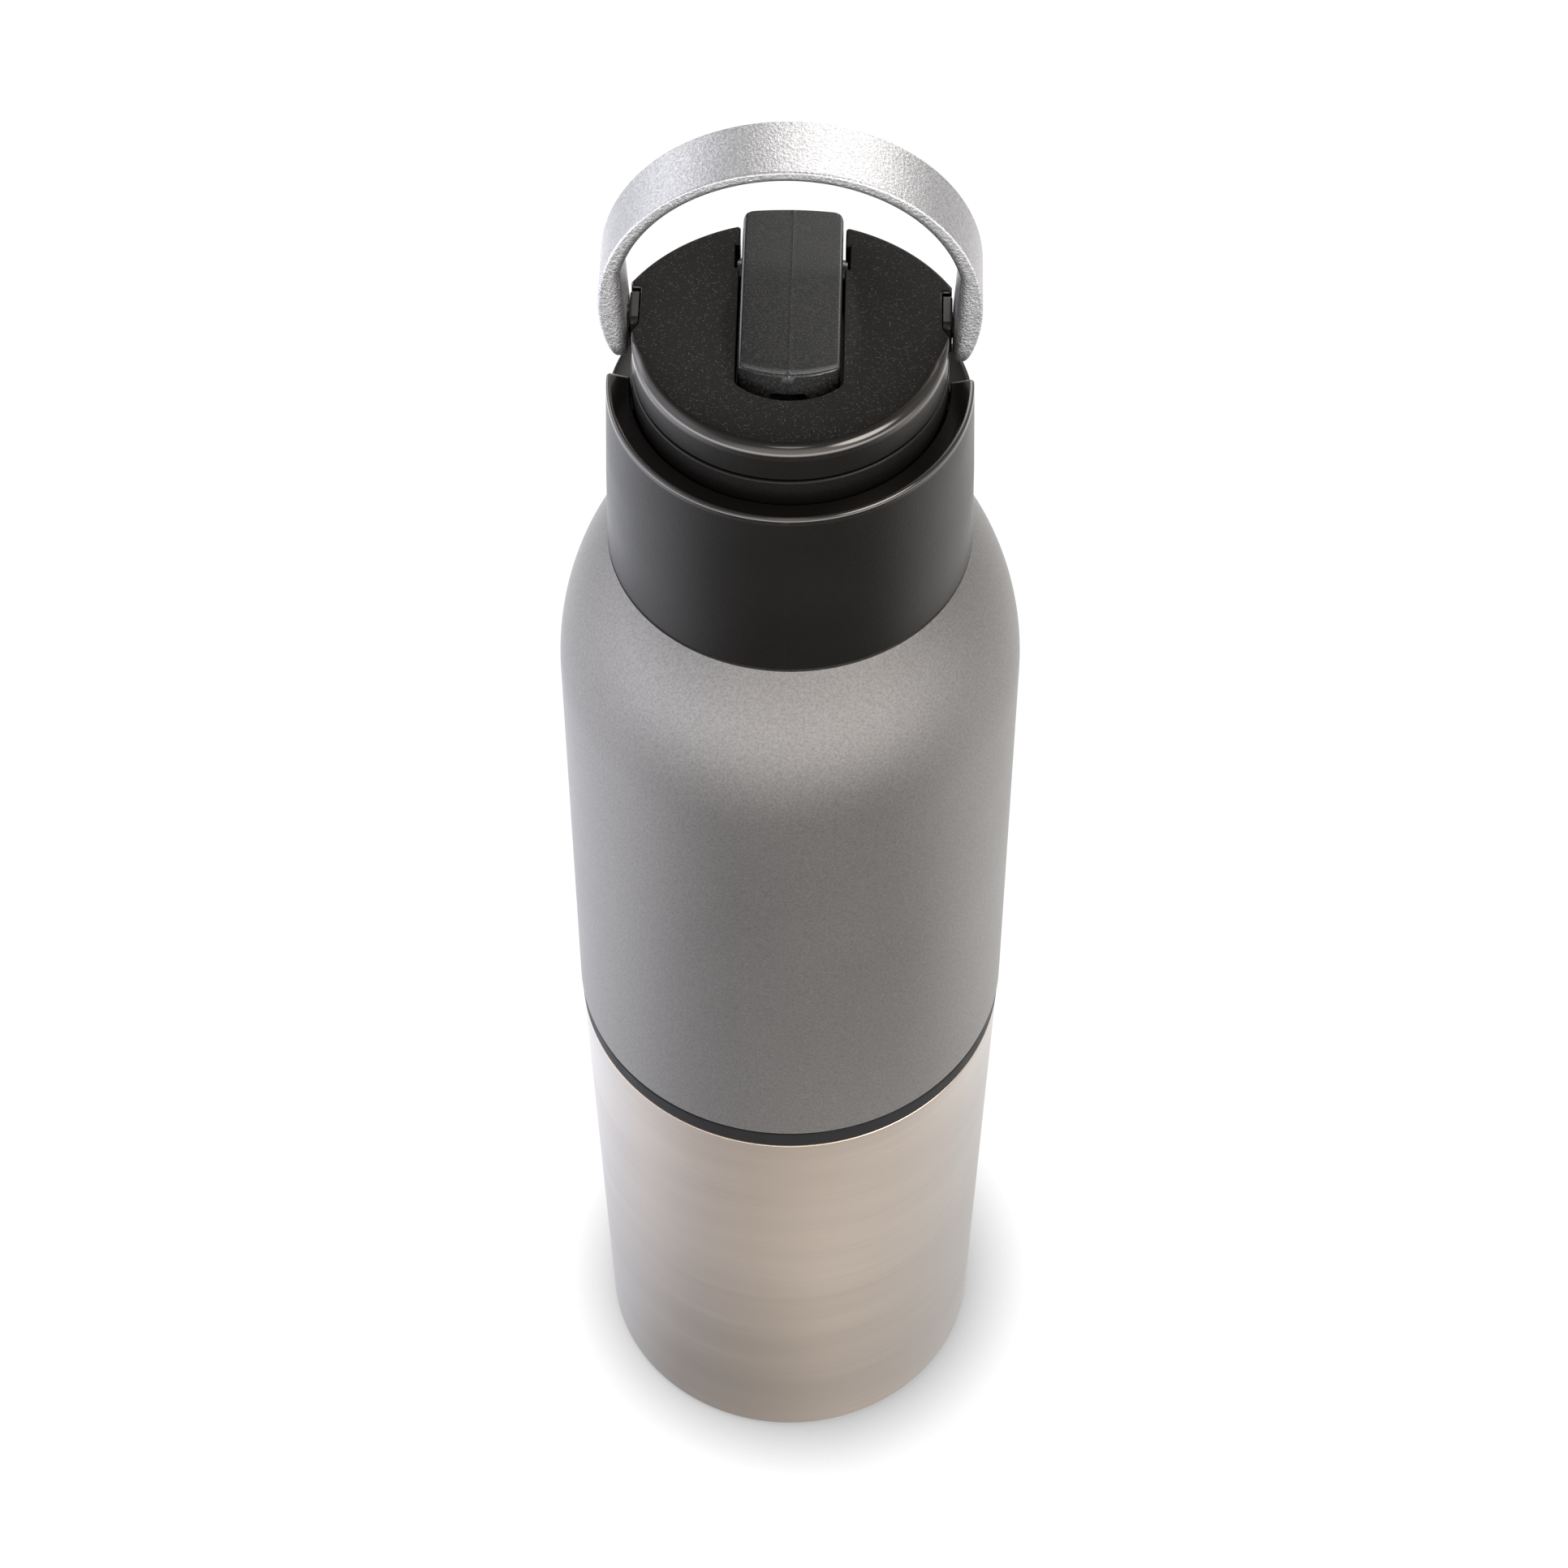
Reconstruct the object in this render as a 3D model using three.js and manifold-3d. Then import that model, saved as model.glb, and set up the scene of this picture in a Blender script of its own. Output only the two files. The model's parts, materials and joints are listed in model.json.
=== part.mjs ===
// A two-in-one insulated drinking bottle, in millimetres, +Z up.
// A steel bottle stands in a steel cup that is also its base. Its screw lid has a flip-up
// drinking spout and a swinging carry handle. The origin is the centre of the cup's foot on
// the table, the drinking side faces -Y, and every height is measured from the table.
import * as THREE from "three";
import { mergeVertices } from "three/addons/utils/BufferGeometryUtils.js";
import Module from "manifold-3d";

const wasm = await Module();
wasm.setup();

// ---- driving dimensions ----
const TURNED_SEGMENTS = 36; // facets round a turned piece
const SHEET = 0.6; // thickness of every steel sheet

const CUP_FOOT_RADIUS = 34.0;
const CUP_RIM_RADIUS = 36.26;
const CUP_HEIGHT = 101.3;
const CUP_MOUTH_RADIUS = 33.0; // inside the liner, at the rim
const CUP_FLOOR = 4.5;
const CUP_FLOOR_RADIUS = 31; // inside the liner, at the floor
const CUP_FOOT_INSIDE = 30.6;

const BODY_RADIUS = 36.5;
const BODY_BOTTOM = 105.1; // underside of the step above the cup
const SPIGOT_RADIUS = 31.2; // the narrower lower half that sits in the cup
const SPIGOT_FOOT_RADIUS = 29.2;
const SPIGOT_BOTTOM = 8.0;
const SPIGOT_FOOT_INSIDE = 26.0;
const SHOULDER_START = 190;
const SHOULDER_ARC = 58; // radius of the shoulder's curve in the side view
const SHOULDER_TOP = 220.15;
const NECK_RADIUS = 24.6;
const NECK_TOP = 243.6;
const NECK_BORE = 23.1;
const LINER_GAP = 2.0; // vacuum space between shell and liner
const LINER_SHOULDER_START = 186;

const THREAD_PITCH = 4;
const THREAD_TURN = (330 / 180) * Math.PI; // how far each thread bead runs round
const NECK_BEAD_START = 228;

const SEAL_HOLE_RADIUS = 2.3; // evacuation hole in each vacuum bottom

const COLLAR_BOTTOM = 220.5;
const COLLAR_FRONT_TOP = 254;
const COLLAR_REAR_TOP = 249;
const COLLAR_STEP_Y = 1.1; // where the rim drops to its lower rear half
const COLLAR_FOOT_RADIUS = 28.05;
const COLLAR_RIM_RADIUS = 27.2;
const COLLAR_BORE = 23.75;

const DRUM_RADIUS = 23.35; // the lid core above the collar
const DRUM_TOP = 257.6;
const PLUG_RADIUS = 21.2; // the threaded part inside the neck
const PLUG_BOTTOM = 223;
const PLUG_WALL = 1.8;
const PLATE_BOTTOM = 247;
const FLANGE_RADIUS = 25.2;
const FLANGE_BOTTOM = 244.9;

const CAP_BOTTOM = 257.9;
const CAP_TOP = 264.3;
const CAP_FRONT_RADIUS = 23.2;
const CAP_REAR_RADIUS = 27.8; // flatter curve of the rear edge
const CAP_REAR_CENTRE_Y = -5.2;
const CAP_FLAT_X = 22.2; // side flats behind the handle's ends

const SLOT_HALF = 7.8; // the spout's slot in the cap
const SLOT_FRONT_Y = -13.2;
const POCKET_HALF = 8.5; // pockets for the spout's trunnions
const WELL_FLOOR = 250.5;
const WELL_FRONT_Y = 10.4;

const SPOUT_PIVOT = new THREE.Vector3(0, 15.2, 260.7);
const SPOUT_HALF = 7.45;
const BARREL_RADIUS = 4.3;
const TRUNNION_RADIUS = 2.1;
const TRUNNION_HALF = 8.3;
const PORT_WIDTH = 5.6;
const PORT_HEIGHT = 2.0;

const STRAW_Y = 14.2;
const STRAW_RADIUS = 3.5;
const STRAW_BORE = 2.6;
const STRAW_BOTTOM = 13;
const VENT_Y = -8;

const HANDLE_PIVOT = new THREE.Vector3(0, 5, 261);
const HANDLE_WIDTH = 10.4;
const HANDLE_ARCH_RADIUS = 27.9;
const HANDLE_ARCH_RISE = 7.7; // arch centre above the pivot
const HANDLE_INNER_RADIUS = 25.2;
const HANDLE_INNER_RISE = 8.1;
const HANDLE_INNER_X = 23.8; // flat inner faces of the two ends, below the pivot
const HANDLE_FLAT_FROM = (13.5 * Math.PI) / 180; // where the inner arch turns into a straight face
const HANDLE_BORE_RADIUS = 2.2;
const HANDLE_BORE_END = 25.3;
const PIN_RADIUS = 1.9;
const PIN_PAD_HALF = 3.2; // half the height and width of the square pad beside the cap

// ---- helpers ----
const degrees = (angle) => (angle / 180) * Math.PI;

// Points [radius, height] on an arc about [centreR, centreZ], from one angle to another.
function arc(centreR, centreZ, radius, from, to, steps) {
  return Array.from({ length: steps + 1 }, (_, i) => {
    const angle = degrees(from + ((to - from) * i) / steps);
    return [centreR + radius * Math.cos(angle), centreZ + radius * Math.sin(angle)];
  });
}

// A solid of revolution about Z. The profile runs from axis to axis or is closed on itself.
function turned(points, segments = TURNED_SEGMENTS) {
  const closesOnAxis = points[0][0] === 0 && points.at(-1)[0] === 0;
  const loop = closesOnAxis ? points : [...points, points[0]];
  let area = 0;
  points.forEach(([r, z], i) => {
    const [nextR, nextZ] = points[(i + 1) % points.length];
    area += r * nextZ - nextR * z;
  });
  const profile = loop.map(([r, z]) => new THREE.Vector2(r, z));
  if (area < 0) profile.reverse();
  return new THREE.LatheGeometry(profile, segments).rotateX(Math.PI / 2);
}

// A flat outline in the XY plane, made into a prism between two heights.
function standingPrism(shape, low, high) {
  const options = { depth: high - low, bevelEnabled: false, curveSegments: 20 };
  return new THREE.ExtrudeGeometry(shape, options).translate(0, 0, low);
}

// A side-view outline [y, z] made into a prism across the object, from -half to +half in X.
function sidePrism(shape, half) {
  const options = { depth: 2 * half, bevelEnabled: false, curveSegments: 20 };
  const toSideView = new THREE.Matrix4().makeBasis(
    new THREE.Vector3(0, 1, 0),
    new THREE.Vector3(0, 0, 1),
    new THREE.Vector3(1, 0, 0),
  );
  return new THREE.ExtrudeGeometry(shape, options).applyMatrix4(toSideView).translate(-half, 0, 0);
}

// A front-view outline [x, z] made into a prism between two Y values.
function frontPrism(shape, front, back) {
  const options = { depth: back - front, bevelEnabled: false, curveSegments: 28 };
  return new THREE.ExtrudeGeometry(shape, options).rotateX(Math.PI / 2).translate(0, back, 0);
}

function outline(points) {
  return new THREE.Shape(points.map(([x, y]) => new THREE.Vector2(x, y)));
}

function rod(radius, low, high, segments = 20) {
  const length = high - low;
  const geometry = new THREE.CylinderGeometry(radius, radius, length, segments);
  return geometry.rotateX(Math.PI / 2).translate(0, 0, low + length / 2);
}

function crossRod(radius, left, right, segments = 20) {
  return rod(radius, left, right, segments).rotateY(Math.PI / 2);
}

function block(width, depth, height, centre) {
  return new THREE.BoxGeometry(width, depth, height).translate(centre.x, centre.y, centre.z);
}

function toSolid(geometry) {
  const bare = geometry.clone();
  bare.deleteAttribute("normal");
  bare.deleteAttribute("uv");
  const merged = mergeVertices(bare, 1e-4);
  return new wasm.Manifold(
    new wasm.Mesh({
      numProp: 3,
      vertProperties: merged.attributes.position.array,
      triVerts: new Uint32Array(merged.index.array),
    }),
  );
}

function toGeometry(solid) {
  const mesh = solid.getMesh();
  const geometry = new THREE.BufferGeometry();
  geometry.setAttribute("position", new THREE.BufferAttribute(mesh.vertProperties, 3));
  geometry.setIndex(new THREE.BufferAttribute(mesh.triVerts, 1));
  geometry.computeVertexNormals();
  return geometry;
}

const join = (first, ...others) => others.reduce((sum, next) => sum.add(toSolid(next)), first);
const cut = (first, ...others) => others.reduce((rest, next) => rest.subtract(toSolid(next)), first);

// A right-hand screw line about Z that runs most of one turn.
class ScrewLine extends THREE.Curve {
  constructor(radius, startHeight) {
    super();
    this.radius = radius;
    this.startHeight = startHeight;
  }
  getPoint(t, target = new THREE.Vector3()) {
    const angle = t * THREAD_TURN;
    const height = this.startHeight + (THREAD_PITCH * angle) / (2 * Math.PI);
    return target.set(this.radius * Math.cos(angle), this.radius * Math.sin(angle), height);
  }
}

function threadBead(lineRadius, startHeight, beadRadius) {
  const section = new THREE.Shape().absarc(0, 0, beadRadius, 0, 2 * Math.PI);
  return new THREE.ExtrudeGeometry(section, {
    steps: 24,
    curveSegments: 4,
    bevelEnabled: false,
    extrudePath: new ScrewLine(lineRadius, startHeight),
  });
}

// ---- finishes ----
const finish = (color, roughness, metalness) =>
  new THREE.MeshStandardMaterial({ color, roughness, metalness });
const bareSteel = () => finish(0xb2a499, 0.35, 1.0);
const greyPaint = () => finish(0x8a8785, 0.45, 0.6);
const blackPlastic = () => finish(0x232222, 0.5, 0.0);
const spoutPlastic = () => finish(0x34343a, 0.6, 0.0);
const blackSilicone = () => finish(0x161618, 0.7, 0.0);
const clearPlastic = () => finish(0xc8ccd0, 0.25, 0.0);
const silverPaint = () => finish(0xc4c4c8, 0.4, 0.8);
const sealPellet = () => finish(0x6f747a, 0.4, 0.5);

function piece(name, geometry, material) {
  const mesh = new THREE.Mesh(geometry, material);
  mesh.name = name;
  return mesh;
}

// ---- the cup ----
function cupOuterShell() {
  const rimTurn = 0.6;
  return turned([
    [CUP_FOOT_INSIDE, 0],
    ...arc(CUP_FOOT_RADIUS - 1.15, 1.15, 1.15, -90, 0, 3),
    [CUP_RIM_RADIUS, CUP_HEIGHT - rimTurn],
    [CUP_RIM_RADIUS - 0.3, CUP_HEIGHT - 0.1],
    [CUP_RIM_RADIUS - 1.1, CUP_HEIGHT],
    [CUP_RIM_RADIUS - 1.36, CUP_HEIGHT],
    [CUP_RIM_RADIUS - 1.36, CUP_HEIGHT - SHEET],
    [CUP_RIM_RADIUS - SHEET, CUP_HEIGHT - 1.3],
    [CUP_FOOT_RADIUS - SHEET, 1.6],
    [CUP_FOOT_RADIUS - 1.3, SHEET],
    [CUP_FOOT_INSIDE, SHEET],
  ]);
}

function cupInnerLiner() {
  const floorRadius = CUP_FLOOR_RADIUS;
  const lip = CUP_RIM_RADIUS - 1.66;
  return turned([
    [0, CUP_FLOOR - SHEET],
    [floorRadius - 1.2, CUP_FLOOR - SHEET],
    [floorRadius + SHEET, CUP_FLOOR + 1.4],
    [CUP_MOUTH_RADIUS + SHEET, CUP_HEIGHT - 1.4],
    [lip, CUP_HEIGHT - SHEET],
    [lip, CUP_HEIGHT],
    [CUP_MOUTH_RADIUS + 0.5, CUP_HEIGHT - 0.2],
    [CUP_MOUTH_RADIUS, CUP_HEIGHT - 1.2],
    [floorRadius, CUP_FLOOR + 1.5],
    [floorRadius - 1.5, CUP_FLOOR],
    [0, CUP_FLOOR],
  ]);
}

// A dished vacuum bottom with an evacuation hole in its middle.
function vacuumBottom(radius, height) {
  const dish = 0.9;
  return turned([
    [SEAL_HOLE_RADIUS, height + dish],
    [radius - 2.1, height + dish],
    [radius - 1.1, height],
    [radius, height],
    [radius, height + SHEET],
    [radius - 0.8, height + SHEET],
    [radius - 1.8, height + dish + SHEET],
    [SEAL_HOLE_RADIUS, height + dish + SHEET],
  ]);
}

// The pellet that closes an evacuation hole after pumping.
function vacuumSeal(height) {
  const radius = SEAL_HOLE_RADIUS - 0.3;
  return turned(
    [
      [0, height - 0.1],
      [radius - 0.4, height],
      [radius, height + 0.3],
      [radius, height + 0.6],
      [0, height + 0.8],
    ],
    16,
  );
}

function cup() {
  const plateHeight = 0.5;
  return new THREE.Group().add(
    piece("cup_outer_shell", cupOuterShell(), bareSteel()),
    piece("cup_inner_liner", cupInnerLiner(), bareSteel()),
    piece("cup_base_plate", vacuumBottom(CUP_FOOT_INSIDE - 0.3, plateHeight), bareSteel()),
    piece("cup_vacuum_seal", vacuumSeal(plateHeight + 0.9), sealPellet()),
  );
}

// ---- the bottle ----
function bottleOuterShell() {
  const arcCentre = BODY_RADIUS - SHOULDER_ARC;
  const rise = SHOULDER_TOP - SHOULDER_START;
  const topAngle = (Math.asin(rise / SHOULDER_ARC) * 180) / Math.PI;
  const insideRise = rise - SHEET;
  const insideAngle = (Math.asin(insideRise / (SHOULDER_ARC - SHEET)) * 180) / Math.PI;
  const neckEdge = NECK_TOP - 0.8;
  return turned([
    [NECK_RADIUS, neckEdge],
    [NECK_RADIUS, SHOULDER_TOP + 0.8],
    [NECK_RADIUS + 0.8, SHOULDER_TOP],
    ...arc(arcCentre, SHOULDER_START, SHOULDER_ARC, topAngle, 0, 5),
    [BODY_RADIUS, BODY_BOTTOM + 1.5],
    [BODY_RADIUS - 0.25, BODY_BOTTOM + 0.5],
    [BODY_RADIUS - 0.8, BODY_BOTTOM],
    [SPIGOT_RADIUS + 0.7, BODY_BOTTOM],
    [SPIGOT_RADIUS, BODY_BOTTOM - 0.9],
    [SPIGOT_FOOT_RADIUS, SPIGOT_BOTTOM + 2],
    [SPIGOT_FOOT_RADIUS - 1, SPIGOT_BOTTOM],
    [SPIGOT_FOOT_INSIDE, SPIGOT_BOTTOM],
    [SPIGOT_FOOT_INSIDE, SPIGOT_BOTTOM + SHEET],
    [SPIGOT_FOOT_RADIUS - 1.3, SPIGOT_BOTTOM + SHEET],
    [SPIGOT_FOOT_RADIUS - SHEET, SPIGOT_BOTTOM + 2.2],
    [SPIGOT_RADIUS - SHEET, BODY_BOTTOM - 0.7],
    [SPIGOT_RADIUS + 0.3, BODY_BOTTOM + SHEET],
    [BODY_RADIUS - 1.1, BODY_BOTTOM + SHEET],
    [BODY_RADIUS - SHEET, BODY_BOTTOM + 1.5],
    ...arc(arcCentre, SHOULDER_START, SHOULDER_ARC - SHEET, 0, insideAngle, 5),
    [NECK_RADIUS + 0.5, SHOULDER_TOP - SHEET],
    [NECK_RADIUS - SHEET, SHOULDER_TOP + 0.4],
    [NECK_RADIUS - SHEET, neckEdge],
  ]);
}

function bottleInnerLiner() {
  const outside = BODY_RADIUS - SHEET - LINER_GAP;
  const inside = outside - SHEET;
  const arcCentre = BODY_RADIUS - SHOULDER_ARC;
  const angleAt = (radius, curve) => (Math.acos((radius - arcCentre) / curve) * 180) / Math.PI;
  const outerCurve = outside - arcCentre;
  const innerCurve = inside - arcCentre;
  const start = LINER_SHOULDER_START;
  const neckOutside = NECK_BORE + SHEET;
  const spigot = SPIGOT_RADIUS - 2.5;
  const spigotFoot = SPIGOT_FOOT_RADIUS - 2.3;
  const floor = SPIGOT_BOTTOM + 3;
  const wall = turned([
    [0, floor],
    [spigotFoot - 1.2, floor + 0.3],
    [spigotFoot, floor + 2.4],
    [spigot, BODY_BOTTOM + 1.4],
    [spigot + 0.7, BODY_BOTTOM + 2.3],
    [outside - 0.7, BODY_BOTTOM + 3],
    [outside, BODY_BOTTOM + 3.9],
    ...arc(arcCentre, start, outerCurve, 0, angleAt(neckOutside, outerCurve), 5),
    [neckOutside, NECK_TOP - 0.5],
    [NECK_RADIUS, NECK_TOP - 0.5],
    [NECK_RADIUS, NECK_TOP - 0.15],
    [NECK_RADIUS - 0.3, NECK_TOP],
    [NECK_BORE + 0.3, NECK_TOP],
    [NECK_BORE, NECK_TOP - 0.4],
    ...arc(arcCentre, start, innerCurve, angleAt(NECK_BORE, innerCurve), 0, 5),
    [inside, BODY_BOTTOM + 4.2],
    [inside - 0.5, BODY_BOTTOM + 3.6],
    [spigot + 0.3, BODY_BOTTOM + 2.9],
    [spigot - SHEET, BODY_BOTTOM + 1.7],
    [spigotFoot - SHEET, floor + 2.6],
    [spigotFoot - 1.5, floor + 0.9],
    [0, floor + SHEET],
  ]);
  const bead = threadBead(NECK_BORE, NECK_BEAD_START, 0.75);
  return toGeometry(join(toSolid(wall), bead));
}

// The silicone sleeve on the spigot: its flange shows as the band between bottle and cup,
// and its three lips press on the cup's liner.
function cupGripRing() {
  const sleeve = 32.0;
  const bottom = 84;
  const lipHeights = [87, 91.5, 96];
  const flangeBottom = CUP_HEIGHT + 0.2;
  const flangeTop = BODY_BOTTOM - 0.2;
  const flangeRadius = CUP_RIM_RADIUS + 0.04;
  const taper = (CUP_MOUTH_RADIUS - CUP_FLOOR_RADIUS) / (CUP_HEIGHT - CUP_FLOOR);
  const lips = lipHeights.flatMap((height) => [
    [sleeve, height - 0.8],
    [CUP_MOUTH_RADIUS - 0.3 - taper * (CUP_HEIGHT - height), height],
    [sleeve, height + 0.8],
  ]);
  return turned([
    [SPIGOT_RADIUS - 0.1, bottom],
    [sleeve, bottom],
    ...lips,
    [sleeve, flangeBottom],
    [flangeRadius - 0.2, flangeBottom],
    [flangeRadius, flangeBottom + 0.3],
    [flangeRadius, flangeTop - 0.3],
    [flangeRadius - 0.2, flangeTop],
    [SPIGOT_RADIUS + 0.8, flangeTop],
    [SPIGOT_RADIUS + 0.35, flangeTop - 0.9],
  ]);
}

function bottle() {
  const plateHeight = SPIGOT_BOTTOM + 0.4;
  return new THREE.Group().add(
    piece("bottle_outer_shell", bottleOuterShell(), greyPaint()),
    piece("bottle_inner_liner", bottleInnerLiner(), bareSteel()),
    piece("bottle_base_plate", vacuumBottom(SPIGOT_FOOT_INSIDE - 0.3, plateHeight), bareSteel()),
    piece("bottle_vacuum_seal", vacuumSeal(plateHeight + 0.9), sealPellet()),
    piece("cup_grip_ring", cupGripRing(), blackSilicone()),
  );
}

// ---- the lid ----
function lidCollar() {
  const skirtBore = 26;
  const ring = turned([
    [COLLAR_FOOT_RADIUS, COLLAR_BOTTOM],
    [COLLAR_FOOT_RADIUS - 0.3, COLLAR_BOTTOM + 15],
    [COLLAR_RIM_RADIUS + 0.05, COLLAR_FRONT_TOP - 1.1],
    [COLLAR_RIM_RADIUS - 0.3, COLLAR_FRONT_TOP - 0.3],
    [COLLAR_RIM_RADIUS - 1, COLLAR_FRONT_TOP],
    [COLLAR_BORE + 0.5, COLLAR_FRONT_TOP - 0.4],
    [COLLAR_BORE, COLLAR_FRONT_TOP - 0.9],
    [COLLAR_BORE, FLANGE_BOTTOM + 1.3],
    [skirtBore, FLANGE_BOTTOM + 1.3],
    [skirtBore, COLLAR_BOTTOM],
  ]);
  const rearDrop = outline([
    [COLLAR_STEP_Y, COLLAR_FRONT_TOP + 2],
    [COLLAR_STEP_Y, COLLAR_FRONT_TOP - 1],
    [COLLAR_STEP_Y + 1.5, COLLAR_REAR_TOP],
    [COLLAR_RIM_RADIUS + 5, COLLAR_REAR_TOP],
    [COLLAR_RIM_RADIUS + 5, COLLAR_FRONT_TOP + 2],
  ]);
  return toGeometry(cut(toSolid(ring), sidePrism(rearDrop, COLLAR_RIM_RADIUS + 5)));
}

// The core holds the thread, the straw socket and the well that the spout turns in.
function lidCore() {
  const plugBore = PLUG_RADIUS - PLUG_WALL;
  const body = turned([
    [0, PLATE_BOTTOM],
    [plugBore, PLATE_BOTTOM],
    [plugBore, PLUG_BOTTOM],
    [PLUG_RADIUS, PLUG_BOTTOM],
    [PLUG_RADIUS, FLANGE_BOTTOM],
    [FLANGE_RADIUS, FLANGE_BOTTOM],
    [FLANGE_RADIUS, FLANGE_BOTTOM + 1],
    [DRUM_RADIUS, FLANGE_BOTTOM + 1],
    [DRUM_RADIUS, DRUM_TOP],
    [0, DRUM_TOP],
  ]);
  const bead = threadBead(PLUG_RADIUS + 0.4, NECK_BEAD_START - THREAD_PITCH / 2, 1.1);
  const socket = rod(STRAW_RADIUS + 1.4, PLATE_BOTTOM - 11, PLATE_BOTTOM + 0.5);
  const socketBore = rod(STRAW_RADIUS + 0.3, PLATE_BOTTOM - 12, PLATE_BOTTOM);
  const port = rod(1.6, PLATE_BOTTOM - 1, WELL_FLOOR + 1, 16);
  const vent = rod(1.1, PLATE_BOTTOM - 1, DRUM_TOP + 1, 12);
  const wellDepth = 30;
  const wellCentre = new THREE.Vector3(0, WELL_FRONT_Y + wellDepth / 2, WELL_FLOOR + 5);
  const well = block(2 * (SLOT_HALF + 0.2), wellDepth, 10, wellCentre);
  [socket, socketBore, port].forEach((part) => part.translate(0, STRAW_Y, 0));
  vent.translate(0, VENT_Y, 0);
  const joined = join(toSolid(body), bead, socket);
  return toGeometry(cut(joined, socketBore, port, vent, well));
}

// The cap's outline: a round front, a flat behind each handle end, a flatter rear curve and
// the spout's slot, which is open to the rear.
function capOutline() {
  const { PI } = Math;
  const earX = 23.45;
  const earY = 9.4;
  const frontEnd = degrees(-1);
  const slotRearY = CAP_REAR_CENTRE_Y + Math.sqrt(CAP_REAR_RADIUS ** 2 - SLOT_HALF ** 2);
  const earAngle = Math.atan2(earY - CAP_REAR_CENTRE_Y, earX);
  const slotAngle = Math.atan2(slotRearY - CAP_REAR_CENTRE_Y, SLOT_HALF);
  const slotBulge = 3.1;
  const bulgeRadius = (SLOT_HALF ** 2 + slotBulge ** 2) / (2 * slotBulge);
  const bulgeCentreY = SLOT_FRONT_Y + bulgeRadius;
  const bulgeAngle = Math.asin(SLOT_HALF / bulgeRadius);
  const pocketFront = SPOUT_PIVOT.y - TRUNNION_RADIUS - 0.2;
  const pocketBack = SPOUT_PIVOT.y + TRUNNION_RADIUS + 0.2;
  const shape = new THREE.Shape();
  shape.moveTo(SLOT_HALF, slotRearY);
  shape.lineTo(SLOT_HALF, pocketBack);
  shape.lineTo(POCKET_HALF, pocketBack);
  shape.lineTo(POCKET_HALF, pocketFront);
  shape.lineTo(SLOT_HALF, pocketFront);
  shape.absarc(0, bulgeCentreY, bulgeRadius, bulgeAngle - PI / 2, -bulgeAngle - PI / 2, true);
  shape.lineTo(-SLOT_HALF, pocketFront);
  shape.lineTo(-POCKET_HALF, pocketFront);
  shape.lineTo(-POCKET_HALF, pocketBack);
  shape.lineTo(-SLOT_HALF, pocketBack);
  shape.absarc(0, CAP_REAR_CENTRE_Y, CAP_REAR_RADIUS, PI - slotAngle, PI - earAngle, false);
  shape.lineTo(-CAP_FLAT_X, earY - 0.9);
  shape.lineTo(-CAP_FLAT_X, 1.2);
  shape.absarc(0, 0, CAP_FRONT_RADIUS, -PI - frontEnd, frontEnd, false);
  shape.lineTo(CAP_FLAT_X, 1.2);
  shape.lineTo(CAP_FLAT_X, earY - 0.9);
  shape.absarc(0, CAP_REAR_CENTRE_Y, CAP_REAR_RADIUS, earAngle, slotAngle, false);
  return shape;
}

function lidTopCap() {
  const plate = standingPrism(capOutline(), CAP_BOTTOM, CAP_TOP);
  const boreStart = 19;
  const bores = [-1, 1].map((side) => {
    const ends = [side * boreStart, side * (CAP_FLAT_X + 3)].sort((a, b) => a - b);
    const bore = crossRod(HANDLE_BORE_RADIUS, ends[0], ends[1]);
    return bore.translate(0, HANDLE_PIVOT.y, HANDLE_PIVOT.z);
  });
  return toGeometry(cut(toSolid(plate), ...bores));
}

function lidGasket() {
  return turned([
    [22.4, NECK_TOP + 0.3],
    [NECK_RADIUS + 0.3, NECK_TOP + 0.3],
    [NECK_RADIUS + 0.3, FLANGE_BOTTOM - 0.3],
    [22.4, FLANGE_BOTTOM - 0.3],
  ]);
}

function tube(bore, radius, low, high, segments) {
  return turned(
    [
      [bore, low],
      [radius, low],
      [radius, high],
      [bore, high],
    ],
    segments,
  );
}

function airVentValve() {
  return turned(
    [
      [0, PLATE_BOTTOM - 1],
      [3.5, PLATE_BOTTOM - 0.6],
      [3.5, PLATE_BOTTOM - 0.3],
      [0.8, PLATE_BOTTOM - 0.3],
      [0.8, PLATE_BOTTOM + 3],
      [0, PLATE_BOTTOM + 3],
    ],
    16,
  );
}

// A pin with a square pad: its root sits in the cap, the pad fills the gap beside the cap and
// the tip sits in the handle's blind bore.
function handlePin() {
  const root = 19.3;
  const padStart = CAP_FLAT_X + 0.3;
  const padEnd = HANDLE_INNER_X - 0.3;
  const tip = HANDLE_BORE_END - 0.3;
  const pin = turned(
    [
      [0, root],
      [PIN_RADIUS, root],
      [PIN_RADIUS, tip],
      [0, tip],
    ],
    24,
  ).rotateY(Math.PI / 2);
  const pad = new THREE.BoxGeometry(padEnd - padStart, 2 * PIN_PAD_HALF, 2 * PIN_PAD_HALF);
  pad.translate((padStart + padEnd) / 2, 0, 0);
  return toGeometry(toSolid(pin).add(toSolid(pad)));
}

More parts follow.
